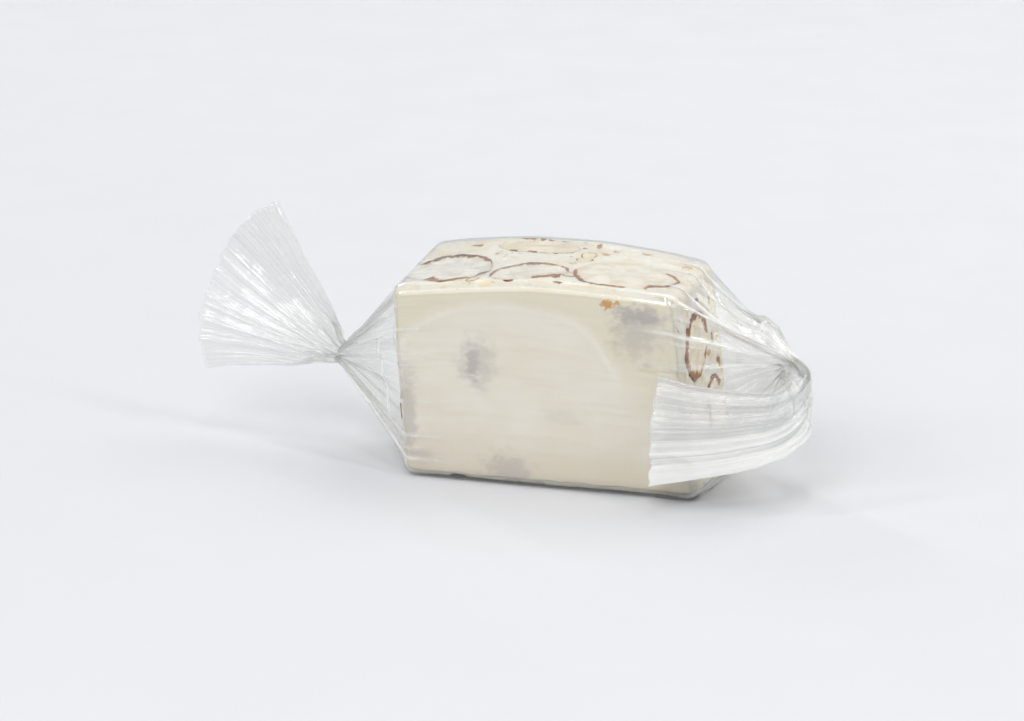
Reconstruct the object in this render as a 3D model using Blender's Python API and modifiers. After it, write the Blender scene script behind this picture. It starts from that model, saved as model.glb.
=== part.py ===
"""A bite of soft almond nougat between two sheets of wafer paper, wrapped in clear film gathered at both ends.

Metres, +Z up. The block stands on one of its long cut sides: its length lies along X, one wafer faces -Y and
the other +Y. The origin is the middle of the flat underside of the film.
Every piece is first made for a straight block, then all of them lean and sag together in settle().
"""

import math

import bmesh
import bpy
import numpy as np
from mathutils import Euler, Matrix, Vector, noise

# The block, over both wafers
BLOCK_LENGTH = 0.038
BLOCK_DEPTH = 0.020
BLOCK_HEIGHT = 0.026
BLOCK_ROUNDING = 0.0016
GRID_STEP = 0.0022
CRAG_DEPTH = 0.00045
CRAG_SIZE = 0.0036

# The wafer sheets, which turn a little way round the block's edges
WAFER_THICKNESS = 0.0004
WAFER_OVER_EDGE = 0.0008
WAFER_CELLS = (12, 8)

# The film, and the air between neighbouring pieces
FILM_WALL = 0.00035
CLEARANCE = 0.0003
NECK_RADIUS = 0.0023
TAIL_HALF_THICKNESS = 0.00085
TAIL_WAVE_DEPTH = 0.0006
TAIL_WAVES = 3
PLEATS = 9
PLEAT_SHARE = 0.10
CORNER_POINTS = 4
SIDE_POINTS = (6, 4)
SLEEVE_STEPS = 8
GATHER_STEPS = 7
TAIL_STEPS = 6

# How the straight block leans and sags
LEFT_LEAN = 0.06
RIGHT_LEAN = 0.12
END_PINCH = 0.03
END_FALL = 0.03
FRONT_LEFT_FALL = 0.06
BACK_RISE = 0.04

FILM_OFFSET = CLEARANCE + FILM_WALL
HALF_LENGTH = BLOCK_LENGTH / 2
HALF_DEPTH = BLOCK_DEPTH / 2
HALF_HEIGHT = BLOCK_HEIGHT / 2
MIDDLE_HEIGHT = FILM_OFFSET + HALF_HEIGHT
NOUGAT_HALF_DEPTH = HALF_DEPTH - WAFER_THICKNESS - CLEARANCE

# Almonds that a cut side shows: middle from the block's middle, half sizes, and turns in degrees about X, Y, Z
ALMONDS = {
    "almond_top_left": ((-0.0126, -0.0028, 0.0117), (0.0060, 0.0056, 0.0040), (8, 4, -12)),
    "almond_top_middle": ((-0.0014, -0.0047, 0.0122), (0.0050, 0.0035, 0.0037), (0, 6, 16)),
    "almond_top_right": ((0.0103, -0.0030, 0.0124), (0.0066, 0.0054, 0.0030), (0, -5, 4)),
    "almond_top_back": ((-0.0035, 0.0056, 0.0132), (0.0056, 0.0028, 0.0034), (0, 0, -8)),
    "almond_right_upper": ((0.0184, -0.0028, 0.0052), (0.0052, 0.0058, 0.0038), (6, 0, 8)),
    "almond_right_lower": ((0.0186, 0.0034, -0.0056), (0.0054, 0.0042, 0.0052), (0, 12, 0)),
    "almond_left_upper": ((-0.0184, 0.0034, 0.0032), (0.0060, 0.0050, 0.0042), (0, -8, 10)),
    "almond_left_lower": ((-0.0185, -0.0046, -0.0056), (0.0050, 0.0038, 0.0052), (14, 0, 0)),
    "almond_bottom_left": ((-0.0078, 0.0034, -0.0121), (0.0066, 0.0046, 0.0042), (0, 4, 20)),
    "almond_bottom_middle": ((0.0030, -0.0036, -0.0119), (0.0050, 0.0046, 0.0040), (0, 0, -14)),
    "almond_bottom_right": ((0.0112, 0.0044, -0.0124), (0.0046, 0.0036, 0.0030), (0, 0, 24)),
}
ALMOND_TAPER = 0.28
ALMOND_RINGS = (12, 8)

# The film beyond each end: its middle line as points past the block's end (outwards, along Y, up from the middle),
# how far along it the neck is, how fast the tail fans out from there, and how much its cut end slants
FILM_ENDS = {
    -1: {
        "line": (
            (0.0000, 0.0000, 0.0000),
            (0.0050, 0.0000, -0.0002),
            (0.0104, 0.0000, 0.0000),
            (0.0134, -0.0004, 0.0018),
            (0.0174, -0.0006, 0.0044),
            (0.0220, -0.0004, 0.0074),
            (0.0268, 0.0000, 0.0106),
        ),
        "neck": 0.355,
        "fan": 0.64,
        "slant": 0.14,
    },
    1: {
        "line": (
            (0.0000, 0.0000, 0.0000),
            (0.0055, -0.0008, 0.0016),
            (0.0102, -0.0026, 0.0036),
            (0.0134, -0.0062, 0.0018),
            (0.0116, -0.0110, -0.0014),
            (0.0052, -0.0136, -0.0026),
            (-0.0040, -0.0136, -0.0036),
        ),
        "neck": 0.335,
        "fan": 0.20,
        "slant": -0.45,
    },
}


def clear_scene():
    for item in list(bpy.data.objects):
        bpy.data.objects.remove(item, do_unlink=True)


def new_collection(name):
    collection = bpy.data.collections.new(name)
    bpy.context.scene.collection.children.link(collection)
    return collection


def plain_material(name, colour, roughness, alpha=1.0):
    material = bpy.data.materials.new(name)
    material.use_nodes = True
    shader = material.node_tree.nodes["Principled BSDF"]
    shader.inputs["Base Color"].default_value = (*colour, 1.0)
    shader.inputs["Roughness"].default_value = roughness
    shader.inputs["Metallic"].default_value = 0.0
    shader.inputs["Alpha"].default_value = alpha
    material.diffuse_color = (*colour, alpha)
    return material


def add_object(name, mesh, collection, material=None):
    thing = bpy.data.objects.new(name, mesh)
    collection.objects.link(thing)
    if material:
        mesh.materials.append(material)
    return thing


def add_cutter(name, mesh, collection):
    cutter = add_object(name, mesh, collection)
    cutter.hide_render = True
    cutter.display_type = "WIRE"
    return cutter


def settle(points):
    """Leans the ends, draws the sides in towards them, and lowers the top there and at the front left corner.

    The top rises a little along the middle of its back edge. The underside stays flat.
    """
    points = np.array(points, float)
    along = np.clip(points[:, 0] / HALF_LENGTH, -1, 1)
    backwards = np.clip(points[:, 1] / HALF_DEPTH, -1, 1) / 2 + 0.5
    lean = LEFT_LEAN * (1 - along) / 2 + RIGHT_LEAN * (1 + along) / 2
    front_left = np.maximum(-along, 0) * (1 - backwards)
    fall = END_FALL * along**2 + FRONT_LEFT_FALL * front_left - BACK_RISE * (1 - along**2) * backwards
    points[:, 0] -= lean * (points[:, 2] - MIDDLE_HEIGHT)
    points[:, 1] *= 1 - END_PINCH * along**2
    points[:, 2] -= fall * np.minimum(points[:, 2], 2 * MIDDLE_HEIGHT)
    return points


def rounded_box(points, half_sizes):
    """Points on a box's surface moved onto the same box with round edges."""
    inner = np.array(half_sizes) - BLOCK_ROUNDING
    core = np.clip(points, -inner, inner)
    away = points - core
    return core + away / np.linalg.norm(away, axis=1, keepdims=True) * BLOCK_ROUNDING


def points_of(mesh):
    flat = np.empty(len(mesh.vertices) * 3)
    mesh.vertices.foreach_get("co", flat)
    return flat.reshape(-1, 3)


def set_points(mesh, points):
    mesh.vertices.foreach_set("co", np.asarray(points, np.float32).ravel())
    mesh.update()


def mesh_from(work, name):
    mesh = bpy.data.meshes.new(name)
    work.to_mesh(mesh)
    work.free()
    return mesh


def grid_box(name, half_sizes):
    """A cube cut into a grid of about GRID_STEP and sized to the half sizes."""
    work = bmesh.new()
    bmesh.ops.create_cube(work, size=2.0)
    for axis in range(3):
        cuts = round(2 * half_sizes[axis] / GRID_STEP) - 1
        edges = [edge for edge in work.edges if edge.verts[0].co[axis] != edge.verts[1].co[axis]]
        bmesh.ops.subdivide_edges(work, edges=edges, cuts=cuts, use_grid_fill=True)
    bmesh.ops.scale(work, vec=half_sizes, verts=work.verts)
    return mesh_from(work, name)


def crag_depth(point):
    """How far a point of a cut side is torn inwards; the sides under the wafers stay smooth."""
    if max(abs(point.x) / HALF_LENGTH, abs(point.z) / HALF_HEIGHT) < 0.97:
        return 0.0
    lump = noise.noise(point / CRAG_SIZE)
    crumb = noise.noise(point / CRAG_SIZE * 2.5)
    return CRAG_DEPTH * (0.5 + 0.3 * lump + 0.2 * crumb)


def nougat_mesh(name, craggy):
    """The nougat between the wafers, a box with round edges."""
    half_sizes = (HALF_LENGTH, NOUGAT_HALF_DEPTH, HALF_HEIGHT)
    mesh = grid_box(name, half_sizes)
    points = rounded_box(points_of(mesh), half_sizes)
    if craggy:
        depths = np.array([crag_depth(Vector(point)) for point in points])
        points -= points / np.linalg.norm(points, axis=1, keepdims=True) * depths[:, None]
    set_points(mesh, settle(points + (0, 0, MIDDLE_HEIGHT)))
    return mesh


def almond_mesh(name, middle, half_sizes, turns, grow=0.0):
    """An almond: a sphere stretched to its half sizes, narrower and thinner towards one tip."""
    work = bmesh.new()
    bmesh.ops.create_uvsphere(work, u_segments=ALMOND_RINGS[0], v_segments=ALMOND_RINGS[1], radius=1.0)
    bmesh.ops.rotate(work, matrix=Matrix.Rotation(math.pi / 2, 3, "Y"), verts=work.verts)
    turn = Euler([math.radians(angle) for angle in turns]).to_matrix()
    sizes = Vector(half_sizes) + Vector((grow, grow, grow))
    for vertex in work.verts:
        narrowing = 1 - ALMOND_TAPER * max(0.0, vertex.co.x) ** 2
        stretched = vertex.co * Vector((1, narrowing, narrowing)) * sizes
        vertex.co = turn @ stretched + Vector(middle)
    bmesh.ops.triangulate(work, faces=work.faces)
    mesh = mesh_from(work, name)
    set_points(mesh, settle(points_of(mesh) + (0, 0, MIDDLE_HEIGHT)))
    return mesh


def build_nougat(parts, cutters, material):
    """The nougat, with a pocket round each almond that a cut side shows."""
    pockets = new_collection("almond_pockets")
    for name, (middle, half_sizes, turns) in ALMONDS.items():
        add_cutter(name + "_pocket", almond_mesh(name, middle, half_sizes, turns, CLEARANCE), pockets)
    nougat = add_object("nougat", nougat_mesh("nougat", craggy=True), parts, material)
    cut = nougat.modifiers.new("pockets", "BOOLEAN")
    cut.operand_type = "COLLECTION"
    cut.collection = pockets
    cut.operation = "DIFFERENCE"
    cut.solver = "EXACT"


def build_almonds(parts, cutters, material):
    """Each almond, cut off where the round-edged block ends."""
    form = add_cutter("block_form", nougat_mesh("block_form", craggy=False), cutters)
    for name, (middle, half_sizes, turns) in ALMONDS.items():
        almond = add_object(name, almond_mesh(name, middle, half_sizes, turns), parts, material)
        cut = almond.modifiers.new("cut_side", "BOOLEAN")
        cut.object = form
        cut.operation = "INTERSECT"
        cut.solver = "EXACT"


def edge_lines(values, half_size):
    """Even grid lines over a sheet, with the outermost inner lines moved to where the block's edge starts to turn."""
    half_sheet = half_size - BLOCK_ROUNDING + WAFER_OVER_EDGE
    flat = half_size - BLOCK_ROUNDING
    inner = sorted(set(np.round(np.abs(values), 6)))[-2]
    return np.interp(values, (-0.5, -inner, inner, 0.5), (-half_sheet, -flat, flat, half_sheet))


def build_wafer(name, side, parts, material):
    """A wafer sheet: a grid laid on one side of the round-edged block, with its thickness inwards."""
    work = bmesh.new()
    bmesh.ops.create_grid(work, x_segments=WAFER_CELLS[0], y_segments=WAFER_CELLS[1], size=0.5)
    if side < 0:
        bmesh.ops.rotate(work, matrix=Matrix.Rotation(math.pi, 3, "X"), verts=work.verts)
    mesh = mesh_from(work, name)
    flat = points_of(mesh)
    points = np.stack(
        [
            edge_lines(flat[:, 0], HALF_LENGTH),
            np.full(len(flat), side * HALF_DEPTH),
            edge_lines(-flat[:, 1] * side, HALF_HEIGHT) * side,
        ],
        axis=1,
    )
    points = rounded_box(points, (HALF_LENGTH, HALF_DEPTH, HALF_HEIGHT))
    set_points(mesh, settle(points + (0, 0, MIDDLE_HEIGHT)))
    wafer = add_object(name, mesh, parts, material)
    thickness = wafer.modifiers.new("thickness", "SOLIDIFY")
    thickness.thickness = WAFER_THICKNESS
    thickness.offset = -1


def corner_shares():
    """Where the film's points lie round the block, as shares of the way round: each corner gets CORNER_POINTS."""
    up_flat = 2 * (HALF_HEIGHT - BLOCK_ROUNDING)
    across_flat = 2 * (HALF_DEPTH - BLOCK_ROUNDING)
    corner = math.pi / 2 * (BLOCK_ROUNDING + FILM_OFFSET)
    stops = [-up_flat / 2]
    for flat, count in ((up_flat, SIDE_POINTS[0]), (across_flat, SIDE_POINTS[1])) * 2:
        stops.extend(np.linspace(stops[-1], stops[-1] + flat, count + 2)[1:])
        stops.extend(np.linspace(stops[-1], stops[-1] + corner, CORNER_POINTS)[1:])
    return np.array(stops[:-1]) / (stops[-1] - stops[0])


def rounded_section(half_width, half_height, rounding, shares):
    """Points round a rectangle with round corners, at shares of the way round from the middle of its +width side."""
    outline = [(half_width, 0.0)]
    for corner in range(4):
        across = (half_width - rounding) * (1, -1, -1, 1)[corner]
        up = (half_height - rounding) * (1, 1, -1, -1)[corner]
        for angle in np.radians(np.linspace(90 * corner, 90 * corner + 90, 19)):
            outline.append((across + rounding * math.cos(angle), up + rounding * math.sin(angle)))
    outline.append(outline[0])
    outline = np.array(outline)
    lengths = np.r_[0, np.cumsum(np.linalg.norm(np.diff(outline, axis=0), axis=1))]
    stops = shares % 1 * lengths[-1]
    return np.stack([np.interp(stops, lengths, outline[:, axis]) for axis in range(2)], axis=1)


def smooth_line(points, shares):
    """Places on a smooth curve through the points (a Catmull-Rom spline), at shares of its length."""
    points = np.array(points)
    padded = np.vstack([2 * points[0] - points[1], points, 2 * points[-1] - points[-2]])
    curve = []
    for before, start, end, after in zip(padded, padded[1:], padded[2:], padded[3:]):
        for part in np.linspace(0, 1, 25)[:-1]:
            bend = 2 * before - 5 * start + 4 * end - after
            twist = 3 * start - before - 3 * end + after
            curve.append(start + 0.5 * part * (end - before + part * (bend + part * twist)))
    curve.append(points[-1])
    lengths = np.r_[0, np.cumsum(np.linalg.norm(np.diff(curve, axis=0), axis=1))]
    stops = np.array(shares) * lengths[-1]
    line = np.stack([np.interp(stops, lengths, np.array(curve)[:, axis]) for axis in range(3)], axis=1)
    return line, stops


def ease(share):
    share = min(max(share, 0.0), 1.0)
    return share * share * (3 - 2 * share)


def between(start, end, share):
    return start + (end - start) * share


def gather_section(drawn_in, shares):
    """The film between the block's end and the neck, as width and height; pleats deepen on the way."""
    even = np.arange(len(shares)) / len(shares)
    half_width = between(HALF_DEPTH + FILM_OFFSET, NECK_RADIUS, drawn_in)
    half_height = between(HALF_HEIGHT + FILM_OFFSET, NECK_RADIUS, drawn_in)
    rounding = between(BLOCK_ROUNDING + FILM_OFFSET, NECK_RADIUS, drawn_in)
    stops = between(shares, even + shares[0] * (1 - drawn_in), ease(drawn_in * 2))
    section = rounded_section(half_width, half_height, rounding, stops)
    pleats = PLEAT_SHARE * ease(drawn_in * 1.6) * np.cos(2 * math.pi * PLEATS * even)
    return section * (1 + pleats[:, None])


def tail_section(spread, fan_width, count):
    """The flat tail, as width, height and how far its sides stay back, with waves across the fan."""
    half_width = between(NECK_RADIUS, TAIL_HALF_THICKNESS, ease(spread * 2.5))
    half_height = NECK_RADIUS + fan_width
    section = rounded_section(half_width, half_height, half_width, np.arange(count) / count)
    across = section[:, 1] / half_height
    waves = TAIL_WAVE_DEPTH * ease(spread * 2) * np.sin(math.pi * TAIL_WAVES * across)
    return section, waves, across


def film_end(side, shares):
    """Rings of the film from one end of the block, through the neck, to the cut end of the tail."""
    end = FILM_ENDS[side]
    stations = np.r_[
        np.linspace(0, end["neck"], GATHER_STEPS + 1),
        np.linspace(end["neck"], 1, TAIL_STEPS + 1)[1:],
    ]
    line, lengths = smooth_line(end["line"], stations)
    line = line * (side, 1, 1) + (side * HALF_LENGTH, 0, MIDDLE_HEIGHT)
    rings = []
    for index, middle in enumerate(line):
        onwards = Vector(line[min(index + 1, len(line) - 1)] - line[max(index - 1, 0)]).normalized()
        turned = min(index / GATHER_STEPS, 1.0) ** 1.5
        ahead = Vector((side, 0, 0)).lerp(onwards, turned).normalized()
        wide_way = (Vector((0, 0, 1)) - ahead * ahead.z).normalized()
        thin_way = wide_way.cross(ahead * side)
        if index <= GATHER_STEPS:
            section = gather_section(index / GATHER_STEPS, shares)
            waves = ahead_shift = np.zeros(len(section))
        else:
            past_neck = lengths[index] - lengths[GATHER_STEPS]
            spread = (index - GATHER_STEPS) / TAIL_STEPS
            section, waves, across = tail_section(spread, end["fan"] * past_neck, len(shares))
            reach = NECK_RADIUS / end["fan"] + past_neck
            angles = section[:, 1] / reach
            section[:, 1] = reach * np.sin(angles)
            ahead_shift = reach * (np.cos(angles) - 1) + end["slant"] * spread**2 * section[:, 1]
        rings.append(
            middle
            + np.outer(section[:, 0] + waves, thin_way)
            + np.outer(section[:, 1], wide_way)
            + np.outer(ahead_shift, ahead)
        )
    return rings


def sleeve_ring(along, shares):
    """A ring of the film where it lies on the block."""
    section = rounded_section(
        HALF_DEPTH + FILM_OFFSET, HALF_HEIGHT + FILM_OFFSET, BLOCK_ROUNDING + FILM_OFFSET, shares
    )
    return np.stack([np.full(len(section), along), section[:, 0], section[:, 1] + MIDDLE_HEIGHT], axis=1)


def build_film(parts, material):
    """The film: a tube lofted through its rings from one tail's cut end to the other's, open at both."""
    shares = corner_shares()
    stations = np.linspace(-HALF_LENGTH, HALF_LENGTH, SLEEVE_STEPS + 1)[1:-1]
    sleeve = [sleeve_ring(along, shares) for along in stations]
    rings = film_end(-1, shares)[::-1] + sleeve + film_end(1, shares)
    count = len(shares)
    faces = []
    for ring in range(len(rings) - 1):
        for step in range(count):
            here = ring * count + step
            beside = ring * count + (step + 1) % count
            faces.append((here, beside, beside + count, here + count))
    mesh = bpy.data.meshes.new("film_wrapper")
    mesh.from_pydata(settle(np.concatenate(rings)).tolist(), [], faces)
    film = add_object("film_wrapper", mesh, parts, material)
    wall = film.modifiers.new("wall", "SOLIDIFY")
    wall.thickness = FILM_WALL
    wall.offset = -1


def main():
    clear_scene()
    parts = new_collection("wrapped_nougat")
    cutters = new_collection("cutters")
    nougat_cream = plain_material("nougat_cream", (0.86, 0.77, 0.62), 0.7)
    almond_ivory = plain_material("almond_ivory", (0.80, 0.70, 0.52), 0.55)
    wafer_white = plain_material("wafer_white", (0.85, 0.83, 0.77), 0.8)
    clear_film = plain_material("clear_film", (0.92, 0.93, 0.94), 0.12, alpha=0.25)
    build_nougat(parts, cutters, nougat_cream)
    build_almonds(parts, cutters, almond_ivory)
    build_wafer("wafer_front", -1, parts, wafer_white)
    build_wafer("wafer_back", 1, parts, wafer_white)
    build_film(parts, clear_film)


main()
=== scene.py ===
import math

import bpy
import numpy as np
from mathutils import Euler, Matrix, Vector


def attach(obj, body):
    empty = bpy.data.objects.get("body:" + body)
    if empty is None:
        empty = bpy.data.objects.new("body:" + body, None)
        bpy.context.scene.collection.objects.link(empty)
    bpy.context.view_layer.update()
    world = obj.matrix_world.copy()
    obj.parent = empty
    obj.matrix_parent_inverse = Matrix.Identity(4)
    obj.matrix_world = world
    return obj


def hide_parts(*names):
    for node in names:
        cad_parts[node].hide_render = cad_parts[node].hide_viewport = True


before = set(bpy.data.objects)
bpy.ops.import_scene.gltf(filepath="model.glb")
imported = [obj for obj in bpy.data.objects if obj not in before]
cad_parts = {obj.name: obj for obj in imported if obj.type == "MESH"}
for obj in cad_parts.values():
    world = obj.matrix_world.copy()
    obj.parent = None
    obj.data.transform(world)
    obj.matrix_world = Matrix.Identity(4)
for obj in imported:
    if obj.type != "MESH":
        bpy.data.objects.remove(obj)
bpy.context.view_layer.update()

# The straight block and how it leans, in metres, as the solids have them
block = {
    "halfLength": 0.019,
    "halfDepth": 0.010,
    "halfHeight": 0.013,
    "rounding": 0.0016,
    "waferThickness": 0.0004,
    "clearance": 0.0003,
    "filmWall": 0.00035,
    "nougatSeat": 0.00005,
    "nougatRounding": 0.0014,
    "standsOff": 0.00052,
    "reachesDown": (0.0002, 0.0042),
    "leftLean": 0.06,
    "rightLean": 0.12,
    "endPinch": 0.03,
    "endFall": 0.03,
    "frontLeftFall": 0.06,
    "backRise": 0.04,
}
filmOffset = block["clearance"] + block["filmWall"]
middleHeight = filmOffset + block["halfHeight"]
halfSizes = np.array([block["halfLength"], block["halfDepth"], block["halfHeight"]])
nougatHalfSizes = halfSizes - [0, block["waferThickness"] + block["nougatSeat"], 0]
mm = 0.001


def report(stage):
    print("stage:", stage)


# Number helpers

# Eases from 0 at low to 1 at high, flat at both
def ease(values, low=0.0, high=1.0):
    share = np.clip((values - low) / (high - low), 0, 1)
    return share * share * (3 - 2 * share)


# A point between start and end, at share
def between(start, end, share):
    return start + (end - start) * share


# One fixed number from 0 to 1 for each whole-number cell, by hashing its indices
def cellRandom(cells, seed):
    wide = cells.astype(np.int64).astype(np.uint64)
    mixed = wide[..., 0] * np.uint64(374761393) + wide[..., 1] * np.uint64(668265263)
    mixed = mixed + wide[..., 2] * np.uint64(2246822519) + np.uint64(seed * 3266489917 + 17)
    mixed = (mixed ^ (mixed >> np.uint64(13))) * np.uint64(1274126177)
    mixed = (mixed ^ (mixed >> np.uint64(16))) * np.uint64(2654435761)
    return ((mixed >> np.uint64(8)) & np.uint64(0xFFFFFF)).astype(float) / 0x1000000


# Smooth noise from -1 to 1: random values at the corners
# of a lattice of that size, blended with eased weights
def softNoise(points, size, seed):
    scaled = points / size
    cells = np.floor(scaled)
    inside = scaled - cells
    inside = inside * inside * (3 - 2 * inside)
    total = np.zeros(len(points))
    for corner in np.ndindex(2, 2, 2):
        corner = np.array(corner)
        weights = np.prod(np.where(corner, inside, 1 - inside), axis=1)
        total += weights * cellRandom(cells + corner, seed)
    return total * 2 - 1


# Layers of soft noise, each half the size and half the strength of the last
def layeredNoise(points, size, seed, layers=3):
    total = sum(softNoise(points, size / 2**layer, seed + layer) / 2**layer for layer in range(layers))
    return total / (2 - 2 / 2**layers)


# Round pits: in each cell of the lattice one pit of random
# place and size, 1 in its middle and 0 from its rim out
def pitNoise(points, size, seed, share):
    scaled = points / size
    cells = np.floor(scaled)
    deepest = np.zeros(len(points))
    for step in np.ndindex(3, 3, 3):
        cell = cells + (np.array(step) - 1)
        centre = cell + np.stack([cellRandom(cell, seed + axis) for axis in range(3)], axis=1)
        radius = 0.15 + 0.45 * cellRandom(cell, seed + 3) ** 2
        present = cellRandom(cell, seed + 4) < share
        reach = np.linalg.norm(scaled - centre, axis=1) / radius
        deepest = np.maximum(deepest, np.where(present, np.sqrt(np.clip(1 - reach**2, 0, 1)), 0))
    return deepest


# Straight-block points after leaning, pinching and sagging, the same sums as in the solids;
# then the lowest few millimetres reach down, so that the thinner film lies on the floor
def settle(points):
    points = np.array(points, float)
    along = np.clip(points[:, 0] / block["halfLength"], -1, 1)
    backwards = np.clip(points[:, 1] / block["halfDepth"], -1, 1) / 2 + 0.5
    lean = block["leftLean"] * (1 - along) / 2 + block["rightLean"] * (1 + along) / 2
    fall = block["endFall"] * along**2 + block["frontLeftFall"] * np.maximum(-along, 0) * (1 - backwards)
    fall -= block["backRise"] * (1 - along**2) * backwards
    points[:, 0] -= lean * (points[:, 2] - middleHeight)
    points[:, 1] *= 1 - block["endPinch"] * along**2
    points[:, 2] -= fall * np.minimum(points[:, 2], 2 * middleHeight)
    points[:, 2] -= block["standsOff"] * (1 - ease(points[:, 2], *block["reachesDown"]))
    return points


# Points near a box moved onto the same box with round edges, and the way out of it there
def ontoRoundedBox(points, sizes, rounding):
    core = np.clip(points, rounding - sizes, sizes - rounding)
    away = points - core
    outwards = away / np.maximum(np.linalg.norm(away, axis=1, keepdims=True), 1e-9)
    return core + outwards * rounding, outwards


def ontoNougat(points):
    return ontoRoundedBox(points, nougatHalfSizes, block["nougatRounding"])[0]


# Mesh helpers

# Quads over a grid of rows and columns; the last column joins the first when the grid goes round
def gridFaces(rows, columns, goesRound=False):
    across = columns if goesRound else columns - 1
    row, column = np.meshgrid(np.arange(rows - 1), np.arange(across), indexing="ij")
    here = row * columns + column
    beside = row * columns + (column + 1) % columns
    return np.stack([here, beside, beside + columns, here + columns], axis=-1).reshape(-1, 4)


def makePiece(name, points, faces, material):
    mesh = bpy.data.meshes.new(name)
    mesh.from_pydata(points.tolist(), [], faces if isinstance(faces, list) else faces.tolist())
    mesh.materials.append(material)
    mesh.shade_smooth()
    piece = bpy.data.objects.new(name, mesh)
    bpy.context.scene.collection.objects.link(piece)
    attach(piece, "root")
    return piece


def addNumbers(piece, name, values):
    layer = piece.data.attributes.new(name, "FLOAT", "POINT")
    layer.data.foreach_set("value", np.asarray(values, np.float32))


# A box's surface as one welded grid with faces outwards, in steps along each axis
def boxGrid(counts):
    quads = []
    for axis in range(3):
        first, second = (axis + 1) % 3, (axis + 2) % 3
        a, b = np.meshgrid(np.arange(counts[first]), np.arange(counts[second]), indexing="ij")
        for end in (0, counts[axis]):
            corners = np.zeros(a.shape + (4, 3), int)
            corners[..., axis] = end
            for place, (da, db) in enumerate(((0, 0), (1, 0), (1, 1), (0, 1))):
                corners[..., place, first] = a + da
                corners[..., place, second] = b + db
            corners = corners if end else corners[..., ::-1, :]
            quads.append(corners.reshape(-1, 4, 3))
    quads = np.concatenate(quads)
    lattice, faces = np.unique(quads.reshape(-1, 3), axis=0, return_inverse=True)
    return lattice / np.array(counts) * 2 - 1, faces.reshape(-1, 4)


# Material helpers

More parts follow.
